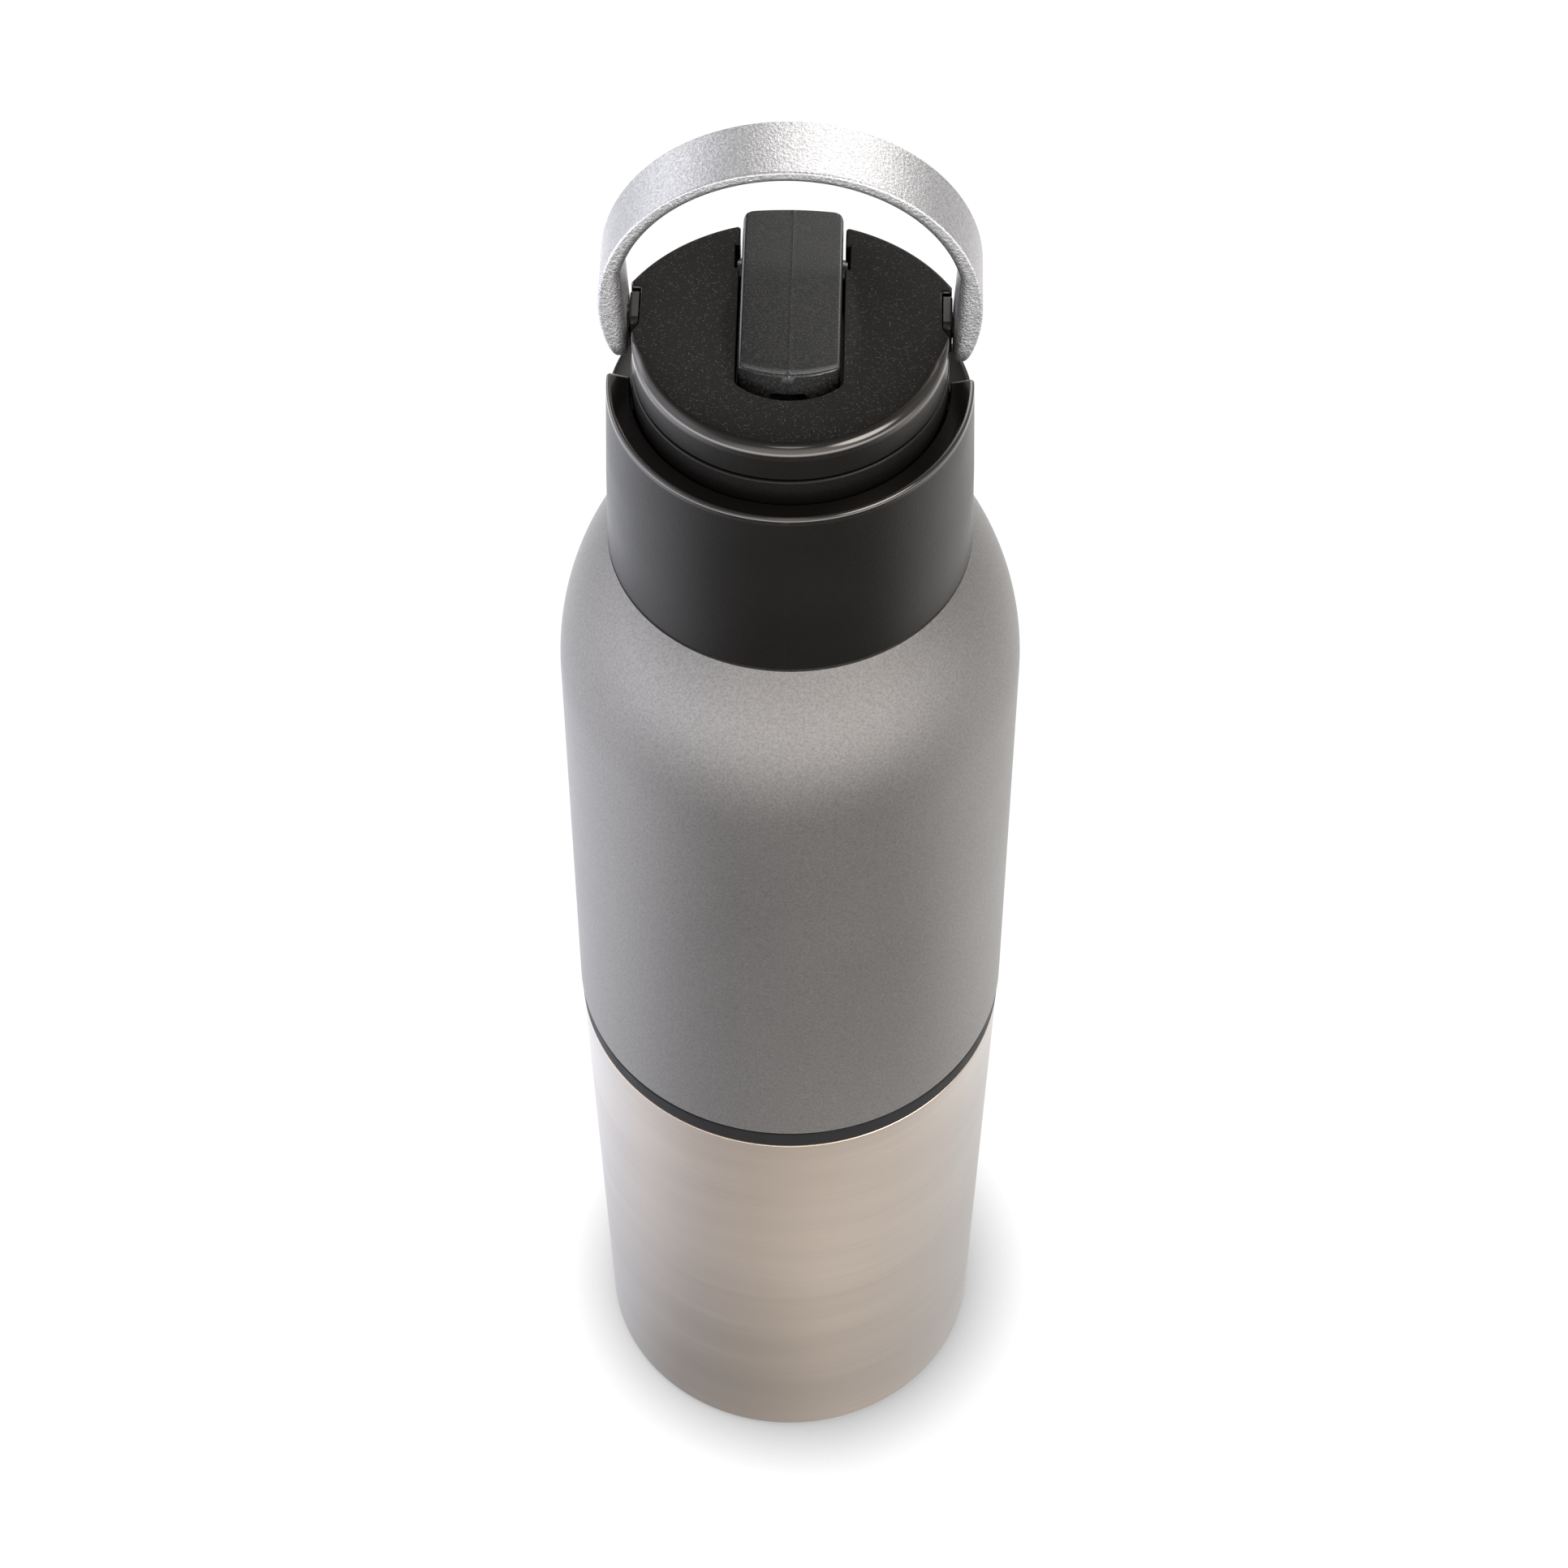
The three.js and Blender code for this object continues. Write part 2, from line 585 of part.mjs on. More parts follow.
function lid() {
  const straw = tube(STRAW_BORE, STRAW_RADIUS, STRAW_BOTTOM, PLATE_BOTTOM - 0.3, 20);
  const spoutSeal = tube(1.6, 2.9, WELL_FLOOR + 0.3, SPOUT_PIVOT.z - BARREL_RADIUS - 0.4, 20);
  const pins = ["handle_pin_left", "handle_pin_right"].map((name) =>
    piece(name, handlePin(), blackPlastic()),
  );
  pins[0].rotation.z = Math.PI;
  pins.forEach((pin) => pin.position.copy(HANDLE_PIVOT));
  return new THREE.Group().add(
    piece("lid_collar", lidCollar(), blackPlastic()),
    piece("lid_core", lidCore(), blackPlastic()),
    piece("lid_top_cap", lidTopCap(), blackPlastic()),
    piece("lid_gasket", lidGasket(), blackSilicone()),
    piece("straw", straw.translate(0, STRAW_Y, 0), clearPlastic()),
    piece("spout_seal", spoutSeal.translate(0, STRAW_Y, 0), blackSilicone()),
    piece("air_vent_valve", airVentValve().translate(0, VENT_Y, 0), blackSilicone()),
    ...pins,
  );
}

// ---- the flip-up spout, about its own pivot ----
function flipSpout() {
  const tail = 8.3;
  const tip = -27.6;
  const sideView = outline([
    [tip + 3, 4.3],
    [tip, -0.2],
    [tip + 1.2, -1.3],
    [-1, -1.4],
    [2.5, 2.6],
    [tail, 2.6],
    [tail, 4.8],
    [tail - 0.4, 5.2],
    [-4.2, 5.5],
  ]);
  const bulgeRadius = 11.3;
  const bulgeAngle = Math.asin(SPOUT_HALF / bulgeRadius);
  const topView = new THREE.Shape();
  topView.moveTo(SPOUT_HALF, tail + 1);
  topView.lineTo(-SPOUT_HALF, tail + 1);
  const [from, to] = [-Math.PI / 2 - bulgeAngle, -Math.PI / 2 + bulgeAngle];
  topView.absarc(0, tip + bulgeRadius, bulgeRadius, from, to, false);
  const bar = toSolid(sidePrism(sideView, SPOUT_HALF + 1));
  const shaped = bar.intersect(toSolid(standingPrism(topView, -3, 7)));
  const barrel = crossRod(BARREL_RADIUS, -SPOUT_HALF + 0.25, SPOUT_HALF - 0.25, 28);
  const trunnions = crossRod(TRUNNION_RADIUS, -TRUNNION_HALF, TRUNNION_HALF);
  const portDrop = 0.067; // the port falls this much for each millimetre towards the pivot
  const port = block(PORT_WIDTH, 60, PORT_HEIGHT, new THREE.Vector3(0, 0, 0));
  port.rotateX(-portDrop).translate(0, 0, -0.75);
  return toGeometry(cut(join(shaped, barrel, trunnions), port));
}

// ---- the carry handle, about its own pivot ----
function handle() {
  const reach = HANDLE_WIDTH / 2;
  const outerEnd = Math.asin(-(HANDLE_ARCH_RISE + reach - 0.3) / HANDLE_ARCH_RADIUS);
  const frontView = new THREE.Shape();
  frontView.absarc(0, HANDLE_ARCH_RISE, HANDLE_ARCH_RADIUS, outerEnd, Math.PI - outerEnd, false);
  frontView.lineTo(-HANDLE_INNER_X, -reach);
  frontView.lineTo(-HANDLE_INNER_X, 0);
  const [from, to] = [Math.PI - HANDLE_FLAT_FROM, HANDLE_FLAT_FROM];
  frontView.absarc(0, HANDLE_INNER_RISE, HANDLE_INNER_RADIUS, from, to, true);
  frontView.lineTo(HANDLE_INNER_X, 0);
  frontView.lineTo(HANDLE_INNER_X, -reach);
  const roundEnds = new THREE.Shape();
  roundEnds.absarc(0, 0, reach, Math.PI, 2 * Math.PI, false);
  roundEnds.lineTo(reach, 50);
  roundEnds.lineTo(-reach, 50);
  const arch = toSolid(frontPrism(frontView, -reach - 1, reach + 1));
  const ends = toSolid(sidePrism(roundEnds, HANDLE_ARCH_RADIUS + 2));
  const bores = [
    crossRod(HANDLE_BORE_RADIUS, HANDLE_INNER_X - 2, HANDLE_BORE_END),
    crossRod(HANDLE_BORE_RADIUS, -HANDLE_BORE_END, -HANDLE_INNER_X + 2),
  ];
  return toGeometry(cut(arch.intersect(ends), ...bores));
}

// ---- the whole object ----
const spout = piece("flip_spout", flipSpout(), spoutPlastic());
spout.position.copy(SPOUT_PIVOT);
const carryHandle = piece("handle", handle(), silverPaint());
carryHandle.position.copy(HANDLE_PIVOT);

const waterBottle = new THREE.Group().add(cup(), bottle(), lid(), spout, carryHandle);
export default waterBottle;
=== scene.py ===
"""Looks of a two-in-one drinking bottle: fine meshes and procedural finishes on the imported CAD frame.

Sizes and places are in millimetres in the row frame (+Z up, drinking side towards -Y). A mesh is
scaled to metres when it is made.
"""
import json
import math
from math import cos, pi, radians, sin, tan

import bmesh
import bpy
from mathutils import Matrix, Vector
from mathutils.geometry import delaunay_2d_cdt

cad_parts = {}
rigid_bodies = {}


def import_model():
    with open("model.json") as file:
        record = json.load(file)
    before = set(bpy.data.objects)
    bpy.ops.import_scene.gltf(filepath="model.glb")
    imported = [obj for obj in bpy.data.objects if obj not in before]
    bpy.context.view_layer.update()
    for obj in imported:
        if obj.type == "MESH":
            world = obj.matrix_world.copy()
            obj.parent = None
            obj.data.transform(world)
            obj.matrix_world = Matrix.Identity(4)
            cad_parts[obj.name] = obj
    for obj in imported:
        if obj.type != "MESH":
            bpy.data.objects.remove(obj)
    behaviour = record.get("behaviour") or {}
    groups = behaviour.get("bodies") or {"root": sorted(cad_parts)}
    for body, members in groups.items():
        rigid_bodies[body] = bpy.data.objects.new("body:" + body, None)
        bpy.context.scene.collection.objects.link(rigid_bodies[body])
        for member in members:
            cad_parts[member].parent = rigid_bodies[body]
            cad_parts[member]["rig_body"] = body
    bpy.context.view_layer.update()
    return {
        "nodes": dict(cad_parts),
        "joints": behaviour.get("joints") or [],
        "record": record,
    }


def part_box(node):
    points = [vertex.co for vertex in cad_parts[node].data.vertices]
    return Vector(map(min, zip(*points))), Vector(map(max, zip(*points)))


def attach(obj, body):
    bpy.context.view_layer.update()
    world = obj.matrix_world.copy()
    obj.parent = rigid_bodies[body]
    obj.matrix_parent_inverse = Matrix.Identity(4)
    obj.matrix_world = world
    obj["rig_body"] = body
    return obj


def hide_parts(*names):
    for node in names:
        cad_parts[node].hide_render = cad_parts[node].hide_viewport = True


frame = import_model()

MM = 0.001
PREFIX = "fine_"

# ---- mesh quality ----
SEGMENTS = 180  # steps round a turned piece
ARC_STEP = radians(9)  # most turn between two points of a rounded corner
WELD = 0.0005  # points closer than this are one point
SHARP_ANGLE = radians(38)  # edges that bend more than this stay crisp


# ---- places and sizes from the frame ----
def box_mm(node):
    low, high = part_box(node)
    return low / MM, high / MM


PIVOTS = {j["name"]: Vector(j["pos_m"]) / MM for j in frame["joints"] if "pos_m" in j}
SPOUT_PIVOT = PIVOTS["spout_flip"]
HANDLE_PIVOT = PIVOTS["handle_swing"]

_, CUP_TOP = box_mm("cup_outer_shell")
BODY_FOOT, BODY_TOP = box_mm("bottle_outer_shell")
LINER_FOOT, LINER_TOP = box_mm("bottle_inner_liner")
RING_FOOT, RING_TOP = box_mm("cup_grip_ring")
COLLAR_FOOT, COLLAR_TOP = box_mm("lid_collar")
CORE_FOOT, CORE_TOP = box_mm("lid_core")
CAP_FOOT, CAP_TOP = box_mm("lid_top_cap")
_, SPOUT_TOP = box_mm("flip_spout")
HANDLE_FOOT, HANDLE_TOP = box_mm("handle")

# ---- sizes the boxes don't give ----
SHEET = 0.6  # thickness of every steel sheet
CLEARANCE = 0.3  # gap between a piece and the hole or the wall round it
PLATE_DISH = 0.9  # how far a base plate is pressed in

CUP_LIP = 1.36  # width of the cup's rolled rim
CUP_FOOT_RADIUS = 34.0
CUP_FOOT_INSIDE = 30.6
CUP_FLOOR = 4.5
CUP_FLOOR_RADIUS = 31.0
CUP_MOUTH_RADIUS = 33.0

BODY_BOTTOM = 105.1
SPIGOT_RADIUS = 31.2
SPIGOT_FOOT_RADIUS = 29.2
SPIGOT_FOOT_INSIDE = 26.0
SHOULDER_START = 190.0
SHOULDER_ARC = 58.0
SHOULDER_TOP = 220.15
NECK_RADIUS = 24.6
NECK_BORE = 23.1
LINER_GAP = 2.0
THREAD_PITCH = 4.0
THREAD_TURN = radians(330)
SEAL_HOLE_RADIUS = 2.3

COLLAR_REAR_TOP = 249.0
COLLAR_STEP_Y = 1.1  # where the rim steps down from its front half to its rear half
COLLAR_WAIST = 15.0  # up to here the collar's wall is nearly upright; above it leans in
COLLAR_BORE = 23.75
SKIRT_BORE = 26.0
DRUM_RADIUS = 23.35
PLUG_RADIUS = 21.2
PLATE_BOTTOM = 247.0
FLANGE_RADIUS = 25.2
FLANGE_BOTTOM = 244.9
FLANGE_THICKNESS = 1.0
SOCKET_DEPTH = 11.0  # how far the straw's socket hangs below the plate
WELL_FLOOR = 250.5
WELL_FRONT_Y = 10.4

CAP_FRONT_RADIUS = 23.2
CAP_REAR_RADIUS = 27.8
CAP_REAR_CENTRE_Y = -5.2
CAP_FLAT_X = 22.2
CAP_DISH = 0.8  # how far the cap's top sinks towards its middle
SLOT_HALF = 7.8
SLOT_FRONT_Y = -13.2
POCKET_HALF = 8.5

SPOUT_HALF = 7.45
SPOUT_FRONT_Y = -24.6  # front edge of the spout's top, from its pivot
BARREL_RADIUS = 4.3
TRUNNION_RADIUS = 2.1
STRAW_Y = 14.2
STRAW_RADIUS = 3.5
VENT_Y = -8.0

HANDLE_ARCH_RADIUS = 27.9
HANDLE_ARCH_RISE = 7.7
HANDLE_INNER_RADIUS = 25.2
HANDLE_INNER_RISE = 8.1
HANDLE_INNER_X = 23.8  # flat inner faces of the two ends, below the pivot
HANDLE_FLAT_FROM = radians(13.5)  # where the inner arch turns into a straight face
HANDLE_BORE_RADIUS = 2.2
HANDLE_BORE_END = 25.3
PIN_RADIUS = 1.9
PIN_PAD_HALF = 3.2  # half the height and width of the square pad beside the cap


# ---- outlines ----
def arc(centre_u, centre_v, radius, start, end, steps):
    """Points on an arc between two angles in radians."""
    angles = [start + (end - start) * i / steps for i in range(steps + 1)]
    return [(centre_u + radius * cos(a), centre_v + radius * sin(a)) for a in angles]


def quarter_turn(steps):
    """Evenly spaced angles from 0 to a right angle, in radians."""
    return [pi / 2 * k / steps for k in range(steps + 1)]


def rounded(corners, steps=None):
    """A closed path whose corners (u, v, radius) are rounded. A corner (u, v) stays as it is."""
    path = []
    for i, corner in enumerate(corners):
        here = Vector(corner[:2])
        if len(corner) < 3:
            path.append(tuple(here))
            continue
        back = Vector(corners[i - 1][:2]) - here
        ahead = Vector(corners[(i + 1) % len(corners)][:2]) - here
        half = back.angle(ahead) / 2
        reach = min(corner[2] / tan(half), 0.49 * min(back.length, ahead.length))
        middle = (back.normalized() + ahead.normalized()).normalized() * (reach / cos(half))
        centre = here + middle
        spoke = here + back.normalized() * reach - centre
        sense = 1 if back.y * ahead.x - back.x * ahead.y > 0 else -1
        turn = pi - 2 * half
        count = steps or max(2, math.ceil(turn / ARC_STEP))
        for k in range(count + 1):
            path.append(tuple(centre + Matrix.Rotation(sense * turn * k / count, 2) @ spoke))
    return path


def rounded_rectangle(half_width, half_height, corner):
    """A rectangle about the origin with rounded corners, counter-clockwise."""
    signs = ((1, -1), (1, 1), (-1, 1), (-1, -1))
    return rounded([(u * half_width, v * half_height, corner) for u, v in signs])


# ---- meshes ----
def fine(node):
    """The name of the piece that stands for a node."""
    return PREFIX + node


def build(name, vertices, faces):
    """A mesh object from points in millimetres, welded, with its faces pointing out."""
    mesh = bpy.data.meshes.new(name)
    mesh.from_pydata([Vector(v) * MM for v in vertices], [], faces)
    cleaned = bmesh.new()
    cleaned.from_mesh(mesh)
    bmesh.ops.remove_doubles(cleaned, verts=cleaned.verts, dist=WELD * MM)
    bmesh.ops.recalc_face_normals(cleaned, faces=cleaned.faces)
    cleaned.to_mesh(mesh)
    cleaned.free()
    piece = bpy.data.objects.new(name, mesh)
    bpy.context.scene.collection.objects.link(piece)
    return piece


def grid_faces(rows, columns, wrap_rows=True):
    """Quads between closed rows of points. Wrapped rows also join the last row to the first."""
    faces = []
    for i in range(rows if wrap_rows else rows - 1):
        here, below = i * columns, (i + 1) % rows * columns
        for j in range(columns):
            right = (j + 1) % columns
            faces.append((here + j, below + j, below + right, here + right))
    return faces


def closed_faces(rows, columns):
    """Quads between closed rows of points, with a face over the first row and one over the last."""
    first = tuple(range(columns))
    last = tuple(range(columns * (rows - 1), columns * rows))
    return grid_faces(rows, columns, wrap_rows=False) + [first, last]


def turned(name, path, segments):
    """A closed path of (radius, height) turned about Z."""
    vertices = []
    for i in range(segments):
        angle = 2 * pi * i / segments
        vertices += [(r * cos(angle), r * sin(angle), z) for r, z in path]
    return build(name, vertices, grid_faces(segments, len(path)))


def lathe(node, corners, segments=SEGMENTS):
    """The turned piece that stands for a node, from the corners (radius, height, rounding)."""
    return turned(fine(node), rounded(corners), segments)


def shifted(piece, offset=(0, 0, 0), turn=None):
    """Turns a piece about the origin and then moves it, in its mesh."""
    if turn is not None:
        piece.data.transform(turn)
    piece.data.transform(Matrix.Translation(Vector(offset) * MM))
    return piece


def rod(name, radius, low, high, segments=64, edge=0.15):
    """An upright rod with slightly rounded edges."""
    corners = [(0, low), (radius, low, edge), (radius, high, edge), (0, high)]
    return turned(name, rounded(corners), segments)


def rounded_bar(name, half_width, half_height, corner, front, back):
    """A bar along Y whose section is a rounded rectangle about the origin."""
    section = rounded_rectangle(half_width, half_height, corner)
    vertices = [(x, y, z) for y in (front, back) for x, z in section]
    return build(name, vertices, closed_faces(2, len(section)))


def helix_bead(name, line_radius, start_height, bead_radius):
    """A thread bead on a right-hand screw line, tapering into the wall at both ends."""
    steps, around = 120, 12
    thinnest = 0.25  # share of the full size at both ends
    growth = 12  # how fast the bead grows from there
    vertices = []
    for i in range(steps + 1):
        share = i / steps
        angle = share * THREAD_TURN
        height = start_height + THREAD_PITCH * angle / (2 * pi)
        taper = bead_radius * min(1, growth * min(share, 1 - share) + thinnest)
        for k in range(around):
            spoke = 2 * pi * k / around
            radius = line_radius + taper * cos(spoke)
            z = height + taper * sin(spoke)
            vertices.append((radius * cos(angle), radius * sin(angle), z))
    return build(name, vertices, closed_faces(steps + 1, around))


def boolean(piece, tool, operation):
    """Joins tool to piece or cuts it away, and deletes tool."""
    modifier = piece.modifiers.new("shape", "BOOLEAN")
    modifier.operation = operation
    modifier.solver = "EXACT"
    modifier.object = tool
    graph = bpy.context.evaluated_depsgraph_get()
    result = bpy.data.meshes.new_from_object(piece.evaluated_get(graph))
    piece.modifiers.clear()
    piece.data = result
    bpy.data.objects.remove(tool)
    return piece


def join(piece, tool):
    return boolean(piece, tool, "UNION")


def cut(piece, tool):
    return boolean(piece, tool, "DIFFERENCE")


def mark_gloss(piece, gloss_at):
    """Stores a gloss from 0 to 1 at every point, which the black plastics read."""
    attribute = piece.data.attributes.new("gloss", "FLOAT", "POINT")
    values = [gloss_at(vertex.co / MM) for vertex in piece.data.vertices]
    attribute.data.foreach_set("value", values)
    return piece


# ---- the finishes ----
NOISE_SPAN = (0.3, 0.7)  # nearly all of a noise lies between these values
COOL = (0.955, 0.975, 1.055)  # tint of the light from the photo's left


class Shading:
    """The shader nodes of one material or world, made one node at a time."""

    def __init__(self, owner):
        owner.use_nodes = True
        self.owner = owner
        self.tree = owner.node_tree
        self.tree.nodes.clear()

    def node(self, kind, inputs=None, **settings):
        """A new node. Inputs go by name or number and take a value or another node's output."""
        node = self.tree.nodes.new(kind)
        for key, value in settings.items():
            setattr(node, key, value)
        for key, value in (inputs or {}).items():
            if isinstance(value, bpy.types.NodeSocket):
                self.tree.links.new(value, node.inputs[key])
            else:
                node.inputs[key].default_value = value
        return node

    def place(self):
        """The point on the piece, in metres, which stays with the piece as it moves."""
        return self.node("ShaderNodeTexCoord").outputs["Object"]

    def stretched(self, scale):
        """The point on the piece, with its own scale along each axis."""
        mapping = self.node("ShaderNodeMapping", {"Vector": self.place(), "Scale": scale})
        return mapping.outputs["Vector"]

    def noise(self, scale, detail=2.0, roughness=0.5, vector=None):
        inputs = {"Scale": scale, "Detail": detail, "Roughness": roughness}
        inputs["Vector"] = self.place() if vector is None else vector
        return self.node("ShaderNodeTexNoise", inputs).outputs["Fac"]

    def between(self, value, low, high, to_low, to_high, smooth=False):
        """A value taken from the span low to high to another span, and held at its ends."""
        inputs = {"Value": value, "From Min": low, "From Max": high, "To Min": to_low, "To Max": to_high}
        kind = "SMOOTHSTEP" if smooth else "LINEAR"
        return self.node("ShaderNodeMapRange", inputs, interpolation_type=kind).outputs["Result"]

    def spread(self, noise, low, high):
        """A noise stretched to run from low to high."""
        return self.between(noise, *NOISE_SPAN, low, high)

    def blend(self, share, first, second):
        """A colour between two plain colours; 6 and 7 are the mix node's colour inputs."""
        inputs = {"Factor": share, 6: (*first, 1), 7: (*second, 1)}
        return self.node("ShaderNodeMix", inputs, data_type="RGBA").outputs[2]

    def mix(self, share, first, second):
        """A number between two numbers; 0, 2 and 3 are the mix node's number inputs."""
        return self.node("ShaderNodeMix", {0: share, 2: first, 3: second}).outputs[0]

    def scaled(self, colour, shade):
        """A colour made darker or lighter by a shade round 1."""
        node = self.node("ShaderNodeVectorMath", {0: colour, "Scale": shade}, operation="SCALE")
        return node.outputs[0]

    def along(self, direction, heading):
        """The cosine of the angle between a direction and a fixed heading."""
        node = self.node("ShaderNodeVectorMath", {0: direction, 1: heading}, operation="DOT_PRODUCT")
        return node.outputs["Value"]

    def math(self, operation, first, second):
        return self.node("ShaderNodeMath", {0: first, 1: second}, operation=operation).outputs[0]

    def plus(self, first, second):
        return self.math("ADD", first, second)

    def minus(self, first, second):
        return self.math("SUBTRACT", first, second)

    def times(self, first, second):
        return self.math("MULTIPLY", first, second)

    def ray(self, kind):
        """1 for rays of one kind and 0 for the rest."""
        return self.node("ShaderNodeLightPath").outputs[kind]

    def bump(self, height, depth, normal=None):
        """Relief as deep as depth millimetres."""
        inputs = {"Height": height, "Distance": depth * MM, "Strength": 1.0}
        if normal is not None:
            inputs["Normal"] = normal
        return self.node("ShaderNodeBump", inputs).outputs["Normal"]

    def attribute(self, name):
        return self.node("ShaderNodeAttribute", attribute_name=name).outputs["Fac"]

    def surface(self, **inputs):
        """The principled surface that ends the material. Underscores stand for spaces."""
        named = {key.replace("_", " "): value for key, value in inputs.items()}
        shader = self.node("ShaderNodeBsdfPrincipled", named)
        self.node("ShaderNodeOutputMaterial", {"Surface": shader.outputs[0]})
        return self.owner


def finish(name):
    """The empty shading of a new material. The scale of a noise counts its cells in a metre."""
    return Shading(bpy.data.materials.new(name))


def grey_paint():
    """Satin grey paint with fine metal flakes and a faint orange peel."""
    f = finish("grey_paint")
    flakes = f.noise(2600, 1.5, 0.6)
    cloud = f.noise(30, 3.0)
    peel = f.noise(1900, 2.0)
    shade = f.times(f.spread(flakes, 0.83, 1.17), f.spread(cloud, 0.97, 1.03))
    colour = f.scaled((0.171, 0.163, 0.157), shade)
    rough = f.spread(cloud, 0.41, 0.47)
    relief = f.bump(flakes, 0.008, f.bump(peel, 0.012))
    return f.surface(Base_Color=colour, Metallic=0.7, Roughness=rough, Normal=relief)


def bare_steel():
    """Warm stainless steel with fine scratches that run round it, and a painted cooler reflection
    towards its edges.
    """
    f = finish("bare_steel")
    hairline = f.noise(1.0, 3.0, 0.65, f.stretched((26, 26, 5200)))
    streak = f.noise(1.0, 3.0, 0.6, f.stretched((16, 16, 640)))
    patch = f.noise(1.0, 2.0, 0.5, f.stretched((14, 14, 90)))
    shade = f.times(f.spread(hairline, 0.95, 1.05), f.spread(streak, 0.97, 1.03))
    shade = f.times(shade, f.spread(patch, 0.93, 1.05))
    # painted reflection: the colour turns cooler where the steel is seen edge-on
    face_on, painted_edge_reflection = (0.48, 0.397, 0.33), (0.46, 0.425, 0.395)
    grazing = f.node("ShaderNodeLayerWeight", {"Blend": 0.5}).outputs["Facing"]
    tone = f.blend(f.between(grazing, 0.45, 0.8, 0.0, 1.0), face_on, painted_edge_reflection)
    colour = f.scaled(tone, shade)
    relief = f.bump(hairline, 0.0016)
    rough = f.spread(streak, 0.3, 0.37)
    return f.surface(Base_Color=colour, Metallic=1.0, Roughness=rough, Anisotropic=0.5, Normal=relief)


def black_plastic():
    """Moulded black plastic: a fine grain with painted glints as light specks; it fades to gloss where
    "gloss" is 1.
    """
    f = finish("black_plastic")
    gloss = f.attribute("gloss")
    matte = f.minus(1.0, gloss)
    grain = f.noise(3400, 3.0, 0.6)
    # painted glints: sparse light specks in the matte colour stand in for glints on the grain
    cells = f.node("ShaderNodeTexVoronoi", {"Vector": f.place(), "Scale": 3300.0})
    dot = f.between(cells.outputs["Distance"], 0.2, 0.45, 1.0, 0.0)
    lottery = f.node("ShaderNodeSeparateColor", {"Color": cells.outputs["Color"]}).outputs[0]
    speck = f.times(dot, f.between(lottery, 0.5, 1.0, 0.0, 1.0))
    speck = f.times(speck, f.between(matte, 0.85, 1.0, 0.0, 1.0))
    ground, painted_glint_colour = (0.004, 0.0035, 0.0032), (0.058, 0.051, 0.045)
    colour = f.blend(speck, ground, painted_glint_colour)
    wear = f.noise(60, 3.0)
    rough = f.plus(f.between(gloss, 0, 1, 0.42, 0.14), f.spread(wear, -0.03, 0.03))
    shine = f.between(gloss, 0.1, 1, 0.08, 0.9)
    relief = f.bump(f.times(grain, matte), 0.04)
    warm = (1.0, 0.94, 0.89, 1.0)
    return f.surface(
        Base_Color=colour, Roughness=rough, Specular_IOR_Level=shine, Specular_Tint=warm, Normal=relief
    )


def spout_plastic():
    """Softer plastic with a fine even grain and, where "gloss" is 1, shinier edges."""
    f = finish("spout_plastic")
    grain = f.noise(5200, 2.0, 0.6)
    cloud = f.noise(120, 3.0)
    speck = f.between(f.noise(3600, 1.0), 0.45, 0.75, 0.0, 1.0)
    colour = f.blend(speck, (0.0035, 0.0034, 0.0034), (0.028, 0.026, 0.025))
    relief = f.bump(grain, 0.03)
    gloss = f.attribute("gloss")
    rough = f.minus(f.spread(cloud, 0.27, 0.33), f.times(gloss, 0.12))
    shine = f.between(gloss, 0.0, 1.0, 0.17, 0.8)
    return f.surface(Base_Color=colour, Roughness=rough, Specular_IOR_Level=shine, Normal=relief)


def black_silicone():
    """Smooth dull rubber with a faint bloom."""
    f = finish("black_silicone")
    bloom = f.noise(300, 4.0, 0.6)
    share = f.between(bloom, 0.35, 0.7, 0.0, 1.0)
    colour = f.blend(share, (0.006, 0.006, 0.0065), (0.011, 0.011, 0.012))
    relief = f.bump(f.noise(2600, 2.0), 0.01)
    rough = f.spread(bloom, 0.5, 0.62)
    return f.surface(Base_Color=colour, Roughness=rough, IOR=1.28, Normal=relief)


def clear_plastic():
    """Milky see-through tube."""
    f = finish("clear_plastic")
    haze = f.noise(200, 3.0)
    rough = f.spread(haze, 0.12, 0.25)
    colour = f.blend(haze, (0.82, 0.84, 0.86), (0.9, 0.91, 0.92))
    return f.surface(Base_Color=colour, Roughness=rough, Transmission_Weight=0.6, IOR=1.45)


def silver_paint():
    """Textured silver paint: small soft bumps with painted shade between them, and bright flakes."""
    f = finish("silver_paint")
    bumps = f.noise(2500, 2.0, 0.55)
    flakes = f.noise(5600, 1.0)
    glitter = f.between(flakes, 0.25, 0.75, 0.84, 1.14)
    # painted shade: the colour is darker in the hollows between the bumps
    painted_hollow_shade = f.between(bumps, 0.35, 0.65, 0.8, 1.12)
    colour = f.scaled((0.445, 0.44, 0.445), f.times(glitter, painted_hollow_shade))
    relief = f.bump(flakes, 0.008, f.bump(bumps, 0.105))
    return f.surface(Base_Color=colour, Metallic=0.92, Roughness=0.42, Normal=relief)


def seal_pellet():
    """Dull grey solder."""
    f = finish("seal_pellet")
    frost = f.noise(900, 4.0, 0.6)
    colour = f.blend(frost, (0.2, 0.2, 0.21), (0.34, 0.34, 0.36))
    return f.surface(Base_Color=colour, Metallic=0.8, Roughness=0.55, Normal=f.bump(frost, 0.05))


FINISHES = {
    "bare_steel": bare_steel(),
    "grey_paint": grey_paint(),
    "black_plastic": black_plastic(),
    "spout_plastic": spout_plastic(),
    "black_silicone": black_silicone(),
    "clear_plastic": clear_plastic(),
    "silver_paint": silver_paint(),
    "seal_pellet": seal_pellet(),
}
SLOT_OF = {part["node"]: part["material_slot"] for part in frame["record"]["subparts"]}


